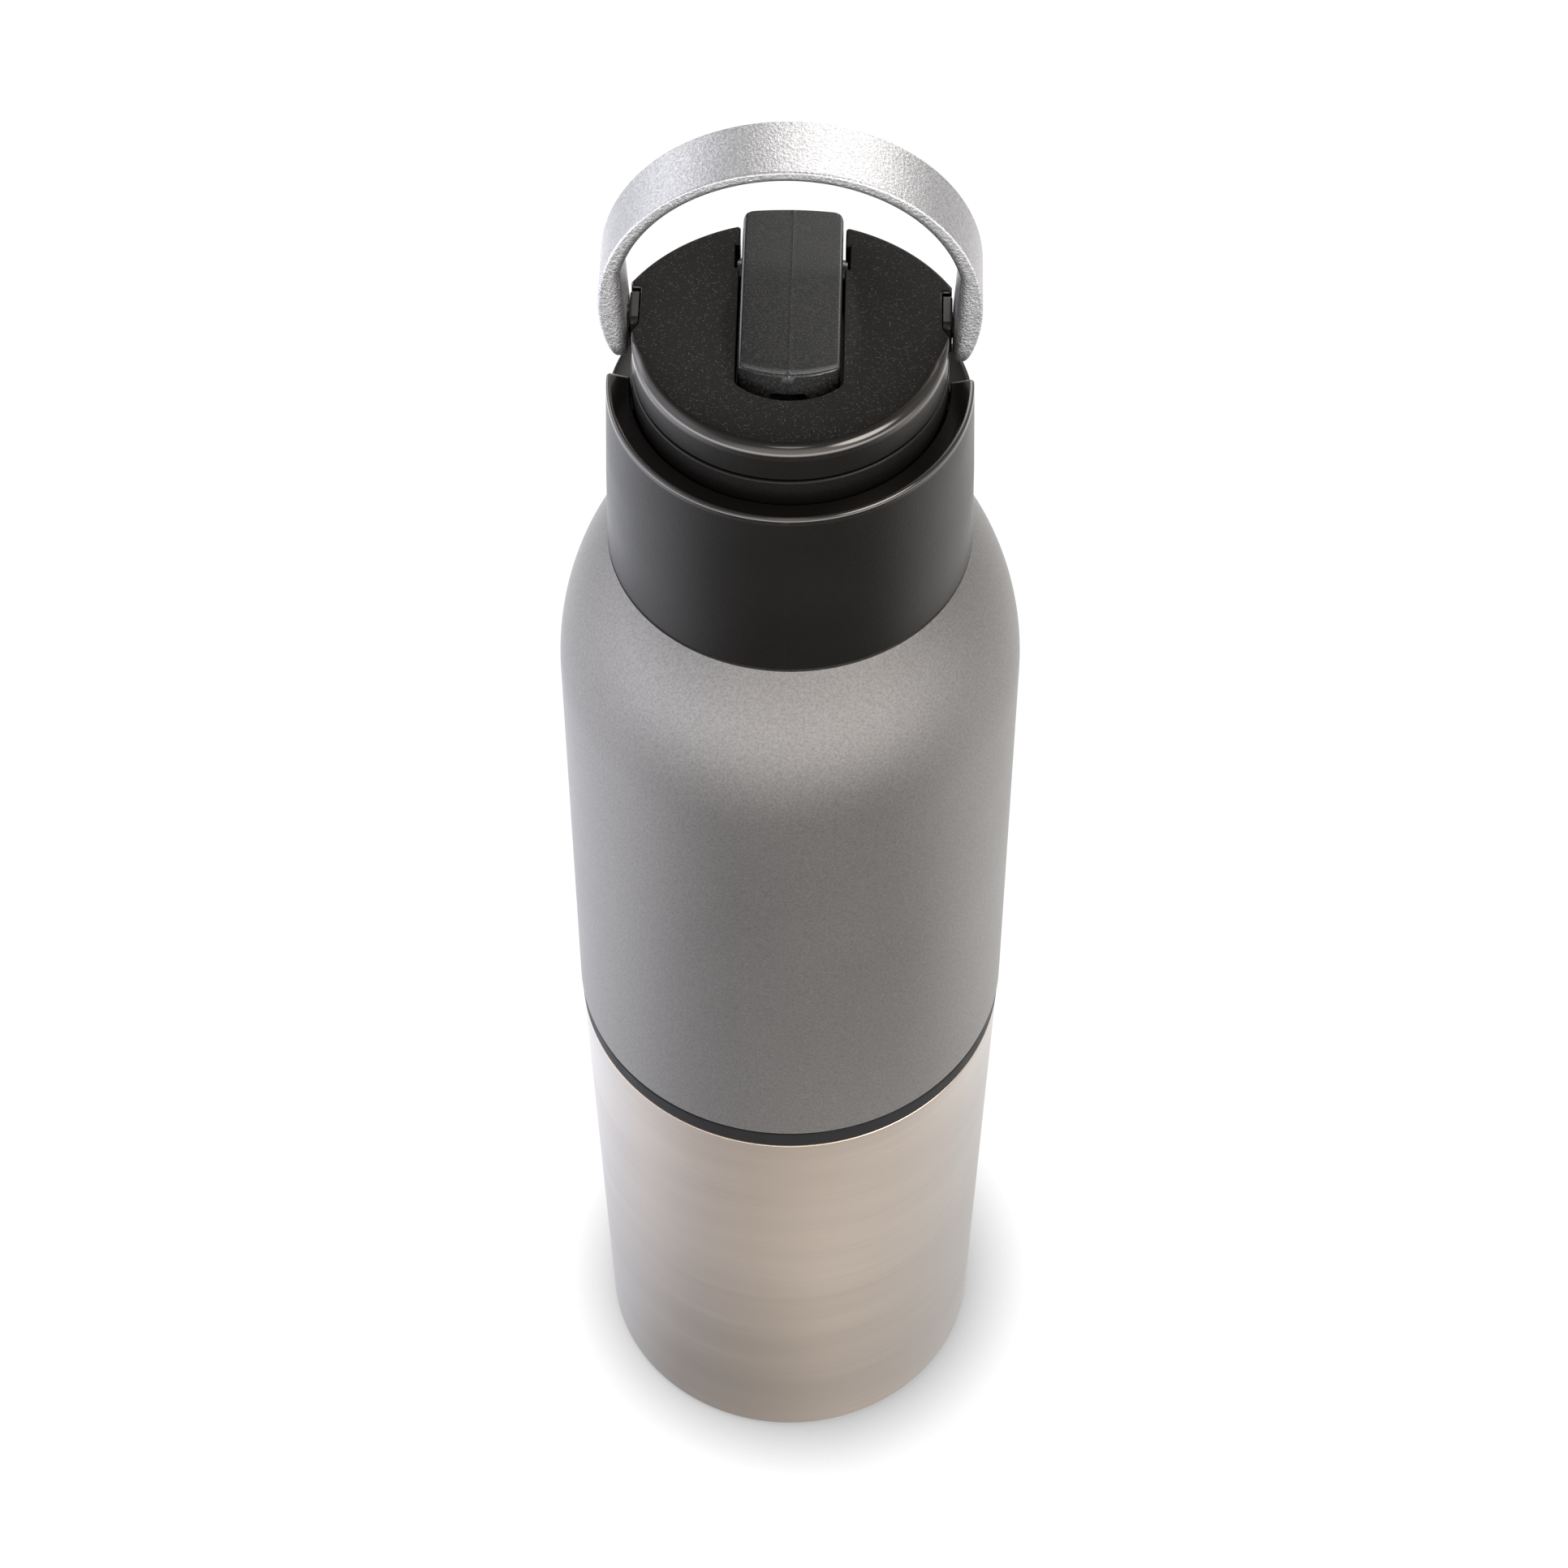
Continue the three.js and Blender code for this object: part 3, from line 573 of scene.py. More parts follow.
def stands_for(piece, node):
    """Gives a finished piece the finish and body that the table gives one CAD node, and hides the node.
    """
    slot = SLOT_OF[node]
    piece.data.materials.clear()
    piece.data.materials.append(FINISHES[slot])
    piece.data.shade_smooth()
    piece.data.set_sharp_from_angle(angle=SHARP_ANGLE)
    modifier = piece.modifiers.new("even_normals", "WEIGHTED_NORMAL")
    modifier.keep_sharp = True
    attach(piece, frame["nodes"][node]["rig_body"])
    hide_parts(node)
    return piece


# ---- the cup ----
def cup_outer_shell():
    rim, top, foot = CUP_TOP.x, CUP_TOP.z, CUP_FOOT_RADIUS
    return lathe("cup_outer_shell", [
        (CUP_FOOT_INSIDE, 0, 0.15),
        (foot, 0, 1.3),
        (rim, top, 0.3),
        (rim - CUP_LIP, top, 0.12),
        (rim - CUP_LIP, top - SHEET, 0.1),
        (rim - SHEET, top - 1.3, 0.3),
        (foot - SHEET, SHEET, 0.7),
        (CUP_FOOT_INSIDE, SHEET, 0.15),
    ])


def cup_inner_liner():
    lip = CUP_TOP.x - CUP_LIP - CLEARANCE
    top = CUP_TOP.z
    return lathe("cup_inner_liner", [
        (0, CUP_FLOOR - SHEET),
        (CUP_FLOOR_RADIUS + SHEET, CUP_FLOOR - SHEET, 2.1),
        (CUP_MOUTH_RADIUS + SHEET, top - 1.0, 0.4),
        (lip, top - SHEET, 0.1),
        (lip, top, 0.12),
        (CUP_MOUTH_RADIUS, top, 1.0),
        (CUP_FLOOR_RADIUS, CUP_FLOOR, 1.5),
        (0, CUP_FLOOR),
    ])


def vacuum_bottom(node, radius, height):
    """A dished plate with an evacuation hole in its middle."""
    inner = height + PLATE_DISH
    return lathe(node, [
        (SEAL_HOLE_RADIUS, inner),
        (radius - 2.1, inner, 0.5),
        (radius - 1.1, height, 0.5),
        (radius, height, 0.12),
        (radius, height + SHEET, 0.12),
        (radius - 0.8, height + SHEET, 0.4),
        (radius - 1.8, inner + SHEET, 0.4),
        (SEAL_HOLE_RADIUS, inner + SHEET),
    ])


def vacuum_seal(node, height):
    """The pellet of solder that closes an evacuation hole."""
    radius = SEAL_HOLE_RADIUS - CLEARANCE
    return lathe(node, [
        (0, height - 0.1),
        (radius - 0.4, height, 0.3),
        (radius, height + 0.3, 0.15),
        (radius, height + 0.6, 0.15),
        (0, height + 0.8),
    ], segments=64)


# ---- the bottle ----
def bottle_outer_shell():
    body, neck = BODY_TOP.x, NECK_RADIUS
    foot = BODY_FOOT.z
    centre = body - SHOULDER_ARC
    top_angle = math.asin((SHOULDER_TOP - SHOULDER_START) / SHOULDER_ARC)
    inside_angle = math.asin((SHOULDER_TOP - SHEET - SHOULDER_START) / (SHOULDER_ARC - SHEET))
    shoulder = arc(centre, SHOULDER_START, SHOULDER_ARC, top_angle, 0, 40)
    inside = arc(centre, SHOULDER_START, SHOULDER_ARC - SHEET, 0, inside_angle, 40)
    return lathe("bottle_outer_shell", [
        (neck - SHEET, BODY_TOP.z),
        (neck, BODY_TOP.z),
        (neck, SHOULDER_TOP, 0.8),
        *shoulder,
        (body, BODY_BOTTOM, 0.9),
        (SPIGOT_RADIUS, BODY_BOTTOM, 0.6),
        (SPIGOT_FOOT_RADIUS, foot, 1.8),
        (SPIGOT_FOOT_INSIDE, foot, 0.15),
        (SPIGOT_FOOT_INSIDE, foot + SHEET, 0.15),
        (SPIGOT_FOOT_RADIUS - SHEET, foot + SHEET, 1.2),
        (SPIGOT_RADIUS - SHEET, BODY_BOTTOM + SHEET, 1.2),
        (body - SHEET, BODY_BOTTOM + SHEET, 0.5),
        *inside,
        (neck - SHEET, SHOULDER_TOP - SHEET, 0.6),
    ], segments=240)


def bottle_inner_liner():
    outside = BODY_TOP.x - SHEET - LINER_GAP
    inside = outside - SHEET
    centre = BODY_TOP.x - SHOULDER_ARC
    start = SHOULDER_START - 4
    floor, top = LINER_FOOT.z, LINER_TOP.z
    outer_curve, inner_curve = outside - centre, inside - centre
    neck = NECK_BORE + SHEET
    spigot = SPIGOT_RADIUS - 2.5
    foot = SPIGOT_FOOT_RADIUS - 2.3
    up = arc(centre, start, outer_curve, 0, math.acos((neck - centre) / outer_curve), 30)
    down = arc(centre, start, inner_curve, math.acos((NECK_BORE - centre) / inner_curve), 0, 30)
    liner = lathe("bottle_inner_liner", [
        (0, floor),
        (foot, floor + 0.3, 2.0),
        (spigot, BODY_BOTTOM + 1.9, 0.8),
        (outside, BODY_BOTTOM + 2.9, 0.9),
        *up,
        (neck, top - 0.5, 0.1),
        (NECK_RADIUS, top - 0.5, 0.1),
        (NECK_RADIUS, top, 0.25),
        (NECK_BORE, top, 0.4),
        *down,
        (inside, BODY_BOTTOM + 3.6, 0.7),
        (spigot - SHEET, BODY_BOTTOM + 2.5, 0.8),
        (foot - SHEET, floor + 0.9, 1.6),
        (0, floor + SHEET),
    ])
    return join(liner, helix_bead("neck_bead", NECK_BORE, start_height=228, bead_radius=0.75))


def cup_grip_ring():
    """The silicone sleeve: its flange is the band between bottle and cup, its lips grip the cup."""
    sleeve = 32.0
    bottom, top = RING_FOOT.z, RING_TOP.z
    flange_bottom = CUP_TOP.z + 0.2
    taper = (CUP_MOUTH_RADIUS - CUP_FLOOR_RADIUS) / (CUP_TOP.z - CUP_FLOOR)
    lip_heights = (87, 91.5, 96)
    lips = []
    for height in lip_heights:
        reach = CUP_MOUTH_RADIUS - CLEARANCE - taper * (CUP_TOP.z - height)
        lips += [(sleeve, height - 0.8, 0.2), (reach, height, 0.25), (sleeve, height + 0.8, 0.2)]
    return lathe("cup_grip_ring", [
        (SPIGOT_RADIUS - 0.1, bottom, 0.15),
        (sleeve, bottom, 0.2),
        *lips,
        (sleeve, flange_bottom, 0.3),
        (RING_TOP.x, flange_bottom, 0.35),
        (RING_TOP.x, top, 0.35),
        (SPIGOT_RADIUS + 0.8, top, 0.2),
        (SPIGOT_RADIUS + 0.35, top - 0.9, 0.3),
    ])


# ---- the lid ----
def rim_heights():
    """The collar's rim in the side view: high in front, with a rounded step down to the rear."""
    front, rear = COLLAR_TOP.z, COLLAR_REAR_TOP
    side = rounded([
        (-40, front), (COLLAR_STEP_Y, front, 1.1), (COLLAR_STEP_Y + 1.5, rear, 0.6), (40, rear), (0, 0)
    ])
    return side[:-1]  # without the point that closed the path


def height_on(path, y):
    """The height of a side-view path at one Y."""
    for (y0, z0), (y1, z1) in zip(path, path[1:]):
        if y0 <= y <= y1:
            return z0 + (z1 - z0) * (y - y0) / max(y1 - y0, 1e-9)
    return path[-1][1]


def lid_collar():
    """The ring round the neck. Its rim is lower in the rear half, so each step has its own profile."""
    foot, bottom = COLLAR_TOP.x, COLLAR_FOOT.z
    waist, waist_height = foot - 0.3, bottom + COLLAR_WAIST
    taper = 0.031  # how much the wall leans in, for each millimetre above the waist
    line_half = 0.12  # half width of the fine moulding line down the front
    line_rise = 0.05
    rim_radius = 26.0  # where the rim's height is read from the side view
    below_rim = 1.5  # the ring of points below the rim's rounded edge
    ledge = FLANGE_BOTTOM + 1.3
    side = rim_heights()
    line = math.degrees(line_half / foot)
    angles = [-line, 0.0, line] + [2 * k for k in range(1, 180)]
    # finer steps where the rim drops
    angles += [sign * (90 + 0.25 * k) for sign in (1, -1) for k in range(4, 36)]
    angles = sorted({round(angle % 360, 4) for angle in angles})
    vertices = []
    for degrees in angles:
        angle = radians(degrees)
        top = height_on(side, -rim_radius * cos(angle))
        wall = waist - taper * (top - waist_height)
        path = rounded([
            (foot, bottom, 0.35),
            (waist, waist_height),
            (wall + below_rim * taper, top - below_rim),
            (wall, top, 0.85),
            (COLLAR_BORE, top - 0.75, 0.3),
            (COLLAR_BORE, ledge, 0.1),
            (SKIRT_BORE, ledge, 0.1),
            (SKIRT_BORE, bottom, 0.2),
        ], steps=7)
        for r, z in path:
            on_wall = r > SKIRT_BORE + 0.8 and z < top - 1
            r += line_rise if degrees == 0 and on_wall else 0
            vertices.append((r * sin(angle), -r * cos(angle), z))
    faces = grid_faces(len(angles), len(vertices) // len(angles))
    piece = build(fine("lid_collar"), vertices, faces)

    def gloss(point):
        """Glossy along the front rim, half glossy round the bore, satin elsewhere."""
        radius = math.hypot(point.x, point.y)
        top = height_on(side, point.y)
        on_rim = radius > 26.2 and point.z > top - 1.1
        on_bore = radius < COLLAR_BORE + 0.35
        if on_rim:
            return 1.0 if point.y < COLLAR_STEP_Y else 0.15
        return 0.5 if on_bore else 0.2

    return mark_gloss(piece, gloss)


def lid_core():
    """The drum, the plug with its thread, the straw socket and the spout's well."""
    bore = PLUG_RADIUS - 1.8
    bottom, top = CORE_FOOT.z, CORE_TOP.z
    core = lathe("lid_core", [
        (0, PLATE_BOTTOM),
        (bore, PLATE_BOTTOM, 0.6),
        (bore, bottom, 0.2),
        (PLUG_RADIUS, bottom, 0.5),
        (PLUG_RADIUS, FLANGE_BOTTOM, 0.2),
        (FLANGE_RADIUS, FLANGE_BOTTOM, 0.15),
        (FLANGE_RADIUS, FLANGE_BOTTOM + FLANGE_THICKNESS, 0.15),
        (DRUM_RADIUS, FLANGE_BOTTOM + FLANGE_THICKNESS, 0.2),
        (DRUM_RADIUS, top, 0.3),
        (0, top),
    ])
    join(core, helix_bead("plug_bead", PLUG_RADIUS + 0.4, start_height=226, bead_radius=1.1))
    over = 1.0  # how far a hole's tool reaches past the material
    straw, vent = (0, STRAW_Y, 0), (0, VENT_Y, 0)
    socket_bottom = PLATE_BOTTOM - SOCKET_DEPTH
    socket = rod("socket", STRAW_RADIUS + 1.4, socket_bottom, PLATE_BOTTOM + 0.5)
    join(core, shifted(socket, straw))
    socket_bore = rod("socket_bore", STRAW_RADIUS + CLEARANCE, socket_bottom - over, PLATE_BOTTOM)
    cut(core, shifted(socket_bore, straw))
    cut(core, shifted(rod("port", 1.6, PLATE_BOTTOM - over, WELL_FLOOR + over), straw))
    cut(core, shifted(rod("vent", 1.1, PLATE_BOTTOM - over, top + over), vent))
    depth, length = 15.0, 30.0
    well = rounded_bar("well", SLOT_HALF + 0.2, depth / 2, 0.8, WELL_FRONT_Y, WELL_FRONT_Y + length)
    cut(core, shifted(well, (0, 0, WELL_FLOOR + depth / 2)))
    return mark_gloss(core, lambda point: 0.25)


def cap_outline():
    """The cap from above, counter-clockwise: round front, side flats, ears, flatter rear, open slot."""
    ear = Vector((23.6, 9.55))  # the corner behind each side flat
    ear_start = ear.y - 1.15
    centre = CAP_REAR_CENTRE_Y
    slot_rear = centre + math.sqrt(CAP_REAR_RADIUS**2 - SLOT_HALF**2)
    ear_angle = math.atan2(ear.y - centre, ear.x)
    slot_angle = math.atan2(slot_rear - centre, SLOT_HALF)
    inset = 1.6 / CAP_REAR_RADIUS  # room for the rounded corners at both ends of the rear arc
    bulge = 3.1  # how far the slot's front end curves forward
    bulge_radius = (SLOT_HALF**2 + bulge**2) / (2 * bulge)
    bulge_half = math.asin(SLOT_HALF / bulge_radius)
    pocket_reach = TRUNNION_RADIUS + 0.2
    pocket_front, pocket_rear = SPOUT_PIVOT.y - pocket_reach, SPOUT_PIVOT.y + pocket_reach
    front = arc(0, 0, CAP_FRONT_RADIUS, -pi / 2, radians(-4), 44)
    end = radians(-1)
    front_end = CAP_FRONT_RADIUS * cos(end), CAP_FRONT_RADIUS * sin(end)
    rear = arc(0, centre, CAP_REAR_RADIUS, ear_angle + inset, slot_angle - inset, 24)
    slot_front = arc(
        0, SLOT_FRONT_Y + bulge_radius, bulge_radius, bulge_half - 0.2 - pi / 2, -pi / 2, 12
    )
    half = [
        *front,
        (*front_end, 0.9),
        (CAP_FLAT_X, 1.2, 0.5),
        (CAP_FLAT_X, ear_start, 0.15),
        (ear.x - 0.1, ear_start, 0.45),
        (*ear, 0.6),
        *rear,
        (SLOT_HALF, slot_rear, 0.5),
        (SLOT_HALF, pocket_rear, 0.25),
        (POCKET_HALF, pocket_rear, 0.15),
        (POCKET_HALF, pocket_front, 0.15),
        (SLOT_HALF, pocket_front, 0.25),
        (SLOT_HALF, SLOT_FRONT_Y + bulge, 1.6),
        *slot_front,
    ]
    other = [(-corner[0], *corner[1:]) for corner in reversed(half[1:-1])]
    return rounded(half + other)


def cap_edge_radius(x, y):
    """How round the cap's top edge is: soft in front, crisper at the rear, sharp round the slot."""
    slot_edge, rear_edge, front_edge = 0.2, 0.45, 1.6
    if abs(x) < POCKET_HALF + 0.3 and math.hypot(x, y) < 21.3:
        return slot_edge
    share = min(1, max(0, -(y + 0.5) / 5))
    return rear_edge + (front_edge - rear_edge) * share


def cap_surface(x, y):
    """The height of the cap's dished top."""
    dish_radius = 21.4
    share = min(1, math.hypot(x, y) / dish_radius)
    return CAP_TOP.z - CAP_DISH * (1 - share**2) ** 2


def inward(path, index):
    """The direction into a counter-clockwise outline at one point, long enough for an even inset."""
    here = Vector(path[index])
    before = (here - Vector(path[index - 1])).normalized()
    after = (Vector(path[(index + 1) % len(path)]) - here).normalized()
    normal = (before.orthogonal() + after.orthogonal()).normalized()
    return normal / max(0.5, normal.dot(before.orthogonal()))


def on_cap_top(x, y):
    """Whether a point is on the cap's top, well away from every edge."""
    in_slot = abs(x) < POCKET_HALF + 1 and y > SLOT_FRONT_Y - 1
    in_front = math.hypot(x, y) < CAP_FRONT_RADIUS - 2.2
    in_rear = math.hypot(x, y - CAP_REAR_CENTRE_Y) < CAP_REAR_RADIUS - 1.4
    between_flats = abs(x) < CAP_FLAT_X - 1.2
    return not in_slot and between_flats and in_rear and (y > 0 or in_front)


def lid_top_cap():
    """A dished plate with a rounded rim: rings along the outline and a fine net inside the last one."""
    outline = cap_outline()
    count = len(outline)
    directions = [inward(outline, i) for i in range(count)]
    bottom = CAP_FOOT.z
    chamfer = 0.2  # of the bottom edge
    below_rim = 0.8  # from the rounded rim down to the ring where the gloss has faded
    rings = [[], [], []]
    for (x, y), direction in zip(outline, directions):
        rings[0].append((x + chamfer * direction.x, y + chamfer * direction.y, bottom))
        rings[1].append((x, y, bottom + chamfer))
        rings[2].append((x, y, cap_surface(x, y) - cap_edge_radius(x, y) - below_rim))
    for turn in quarter_turn(7):
        ring = []
        for (x, y), direction in zip(outline, directions):
            radius = cap_edge_radius(x, y)
            spot = Vector((x, y)) + direction * radius * (1 - cos(turn))
            ring.append((*spot, cap_surface(*spot) - radius * (1 - sin(turn))))
        rings.append(ring)
    vertices = [point for ring in rings for point in ring]
    faces = grid_faces(len(rings), count, wrap_rows=False)
    faces.append(tuple(range(count)))

    net = 0.9  # spacing of the net's points
    row = net * 0.87
    inner = [Vector(point[:2]) for point in rings[-1]]
    for i in range(-30, 31):
        for j in range(-34, 35):
            x, y = net * (i + 0.5 * (j % 2)), row * j
            if on_cap_top(x, y):
                inner.append(Vector((x, y)))
    loop = [tuple(range(count))]
    inside_only, tolerance = 1, 1e-5
    spots, _, triangles, _, _, _ = delaunay_2d_cdt(inner, [], loop, inside_only, tolerance)
    start = len(vertices)
    vertices += [(spot.x, spot.y, cap_surface(spot.x, spot.y)) for spot in spots]
    faces += [tuple(start + index for index in triangle) for triangle in triangles]
    cap = build(fine("lid_top_cap"), vertices, faces)
    for side in (1, -1):
        bore = rod("bore", HANDLE_BORE_RADIUS, 19, CAP_FLAT_X + 3)
        cut(cap, shifted(bore, HANDLE_PIVOT, Matrix.Rotation(side * pi / 2, 4, "Y")))

    def gloss(point):
        """Matte on the top, glossy on the rounded rim, satin on the sides."""
        depth = cap_surface(point.x, point.y) - point.z
        on_side = depth > cap_edge_radius(point.x, point.y) + 0.5
        fade = 0.12  # depth at which the rim is fully glossy
        return 0.22 if on_side else min(1.0, max(0.0, depth / fade))

    return mark_gloss(cap, gloss)


def lid_gasket():
    _, high = box_mm("lid_gasket")
    return tube("lid_gasket", 22.4, high.x, 0.25)


def tube(node, bore, radius, edge=0.15, segments=SEGMENTS):
    """An upright tube as tall as its CAD part, about the bottle's axis."""
    low, high = box_mm(node)
    corners = [
        (bore, low.z, edge), (radius, low.z, edge), (radius, high.z, edge), (bore, high.z, edge)
    ]
    return lathe(node, corners, segments)


def straw():
    piece = tube("straw", STRAW_RADIUS - 0.9, STRAW_RADIUS, segments=72)
    return shifted(piece, (0, STRAW_Y, 0))


def spout_seal():
    """The washer where the straw's channel meets the spout."""
    piece = tube("spout_seal", 1.6, 2.9, segments=72)
    return shifted(piece, (0, STRAW_Y, 0))


def air_vent_valve():
    """A small umbrella valve: its stem is pressed into the vent hole."""
    umbrella, stem, stem_top = 3.5, 0.8, PLATE_BOTTOM + 3
    valve = lathe("air_vent_valve", [
        (0, PLATE_BOTTOM - 1),
        (umbrella, PLATE_BOTTOM - 0.65, 0.12),
        (umbrella, PLATE_BOTTOM - CLEARANCE, 0.12),
        (stem, PLATE_BOTTOM - CLEARANCE, 0.2),
        (stem, stem_top, 0.3),
        (0, stem_top),
    ], segments=72)
    return shifted(valve, (0, VENT_Y, 0))


def handle_pin(node, side):
    """A pin with a square pad: its root sits in the cap, its tip in the handle. Side is -1 or 1."""
    root, tip = 19.3, HANDLE_BORE_END - CLEARANCE
    pin = rod(fine(node), PIN_RADIUS, root, tip, segments=72, edge=0.25)
    start, end = CAP_FLAT_X + 0.1, HANDLE_INNER_X - 0.15
    section = rounded_rectangle(PIN_PAD_HALF, PIN_PAD_HALF, 0.9)
    directions = [inward(section, i) for i in range(len(section))]
    edge = 0.45
    turns = quarter_turn(5)
    vertices = [(u, v, start) for u, v in section]
    for t in turns:
        draw, x = edge * (1 - cos(t)), end - edge * (1 - sin(t))
        for (u, v), direction in zip(section, directions):
            vertices.append((u + draw * direction.x, v + draw * direction.y, x))
    join(pin, build("pad", vertices, closed_faces(len(turns) + 1, len(section))))
    shifted(pin, HANDLE_PIVOT, Matrix.Rotation(side * pi / 2, 4, "Y"))
    return mark_gloss(pin, lambda point: 0.3)


# ---- the flip-up spout ----
def spout_side_view():
    """The spout's outline from the side, about its pivot, as (y, z): the bar and its barrel."""
    under_front, under_rear = -1.4, 2.6  # where the bar's underside meets the barrel
    join_front = -math.sqrt(BARREL_RADIUS**2 - under_front**2)
    join_rear = math.sqrt(BARREL_RADIUS**2 - under_rear**2)
    start = math.atan2(under_front, join_front) % (2 * pi)
    end = 2 * pi + math.atan2(under_rear, join_rear)
    tail = 8.3
    return rounded([
        (SPOUT_FRONT_Y, 4.3, 0.6),
        (-27.6, -0.2, 0.9),
        (-26.4, -1.3, 0.6),
        *arc(0, 0, BARREL_RADIUS, start, end, 40),
        (tail, under_rear, 0.6),
        (tail, 5.2, 0.6),
        (-4.2, 5.5, 45),
    ])


def split_long(path, longest):
    """The same closed path with extra points, so that no step is longer than a limit."""
    result = []
    for i, point in enumerate(path):
        here, ahead = Vector(point), Vector(path[(i + 1) % len(path)])
        parts = max(1, math.ceil((ahead - here).length / longest))
        result += [tuple(here.lerp(ahead, k / parts)) for k in range(parts)]
    return result


def flip_spout():
    """The side view carried across the spout, drawn in at both sides for a rounded edge."""
    side_view = split_long(spout_side_view(), 1.0)
    directions = [inward(side_view, i) for i in range(len(side_view))]
    edge = 0.6
    corner = 1.5  # plan radius of the two rear corners
    line_half = 0.07  # half width of the moulding line along the middle
    line_rise = 0.035
    bow, bow_less_above = 2.5, 0.6  # how far the front's sides lie behind its middle
    rear_bow = 0.35
    crown = 0.18  # how far the top's sides lie below its middle
    right = [(SPOUT_HALF - edge * (1 - cos(t)), edge * (1 - sin(t))) for t in quarter_turn(6)]
    flat = SPOUT_HALF - edge
    inside = [(flat * k / 12, 0.0) for k in range(11, 0, -1)]
    half = right + inside + [(line_half, 0.0)]
    columns = half + [(0.0, 0.0)] + [(-x, draw) for x, draw in reversed(half)]
    vertices = []
    for x, draw in columns:
        share = (x / SPOUT_HALF) ** 2
        past_corner = max(0.0, abs(x) - (SPOUT_HALF - corner))
        rear_round = corner - math.sqrt(corner**2 - min(past_corner, corner) ** 2)
        for (y, z), direction in zip(side_view, directions):
            point = Vector((y, z)) + direction * draw
            front = min(1, max(0, (-y - 8) / 16))
            rear = min(1, max(0, (y - 3.5) / 4))
            upper = min(1, max(0, (z - 1) / 3))
            point.x += front * (bow - bow_less_above * upper) * share
            point.x -= rear * (rear_round + rear_bow * share)
            point.y -= crown * share * upper
            if x == 0 and (z > 2.8 or y < SPOUT_FRONT_Y):
                point -= line_rise * direction
            vertices.append((x, point.x, point.y))
    faces = closed_faces(len(columns), len(side_view))
    spout = build(fine("flip_spout"), vertices, faces)
    trunnion = rod("trunnion", TRUNNION_RADIUS, -SPOUT_TOP.x, SPOUT_TOP.x, edge=0.2)
    join(spout, shifted(trunnion, turn=Matrix.Rotation(pi / 2, 4, "Y")))
    port = rounded_bar("port", 2.8, 1.0, 0.85, -40, 20)
    cut(spout, shifted(port, (0, 0, -0.75), Matrix.Rotation(-0.067, 4, "X")))

    def gloss(point):
        """Shinier along the side edges and the front edge of the top."""
        front = SPOUT_FRONT_Y + (bow - bow_less_above) * (point.x / SPOUT_HALF) ** 2
        on_side_edge = abs(point.x) > SPOUT_HALF - 0.4
        on_front_edge = abs(point.y - front) < 0.6 and point.z > 4.05
        return 1.0 if on_side_edge or on_front_edge else 0.0

    mark_gloss(spout, gloss)
    return shifted(spout, SPOUT_PIVOT)


# ---- the carry handle ----
def handle():
    """A band with round ends, laid out flat as a stadium and then bent into the arch."""
    half = (HANDLE_TOP.y - HANDLE_FOOT.y) / 2
    end_angle = math.asin(-(HANDLE_ARCH_RISE + half) / HANDLE_ARCH_RADIUS)
    straight = HANDLE_ARCH_RADIUS * (pi / 2 - end_angle) - half
    flat_rise = HANDLE_INNER_RISE + HANDLE_INNER_RADIUS * sin(HANDLE_FLAT_FROM)
    inner_lean = (HANDLE_INNER_RADIUS * cos(HANDLE_FLAT_FROM) - HANDLE_INNER_X) / flat_rise
    along, around = 90, 20
    spine = [straight * (1 - 2 * k / along) for k in range(along + 1)]
    spokes = [(straight, radians(-90 + 180 * k / around)) for k in range(around)]
    spokes += [(s, pi / 2) for s in spine[:-1]]
    spokes += [(-straight, radians(90 + 180 * k / around)) for k in range(around)]
    spokes += [(-s, -pi / 2) for s in spine[:-1]]

    def bend(s, w, level):
        """Takes a place on the flat band to the arch; level is -1 inside and 1 outside."""
        angle = pi / 2 - abs(s) / HANDLE_ARCH_RADIUS
        outer = Vector((cos(angle), sin(angle))) * HANDLE_ARCH_RADIUS + Vector((0, HANDLE_ARCH_RISE))
        inner = Vector((cos(angle), sin(angle))) * HANDLE_INNER_RADIUS + Vector((0, HANDLE_INNER_RISE))
        if angle < HANDLE_FLAT_FROM:
            share = (HANDLE_FLAT_FROM - angle) / (HANDLE_FLAT_FROM - end_angle)
            rise = flat_rise - (half + flat_rise) * share
            inner = Vector((HANDLE_INNER_X + inner_lean * max(0, rise), rise))
        spot = inner.lerp(outer, (1 + level) / 2)
        return Vector((math.copysign(spot.x, s), w, spot.y)) + HANDLE_PIVOT

    def side_of_band(reach, edge):
        """Half of one side of the section, as (inset, level): a rounded edge and then a flat.
        Reach is the edge's width in millimetres; edge is its depth in levels."""
        corner = [(reach * (1 - cos(t)), 1 - edge * (1 - sin(t))) for t in quarter_turn(7)]
        return corner + [(inset, 1.0) for inset in (1.8, 2.8, 4.0, half)]

    outside, inside = side_of_band(0.35, 0.28), side_of_band(1.2, 1.1)
    profile = outside[::-1] + [(inset, -level) for inset, level in inside]
    vertices = []
    for inset, level in profile:
        for s, angle in spokes:
            reach_out = half - inset
            vertices.append(bend(s + reach_out * cos(angle), reach_out * sin(angle), level))
    faces = grid_faces(len(profile), len(spokes), wrap_rows=False)
    piece = build(fine("handle"), vertices, faces)
    for side in (1, -1):
        bore = rod("bore", HANDLE_BORE_RADIUS, HANDLE_INNER_X - 2, HANDLE_BORE_END)
        cut(piece, shifted(bore, HANDLE_PIVOT, Matrix.Rotation(side * pi / 2, 4, "Y")))
    return piece


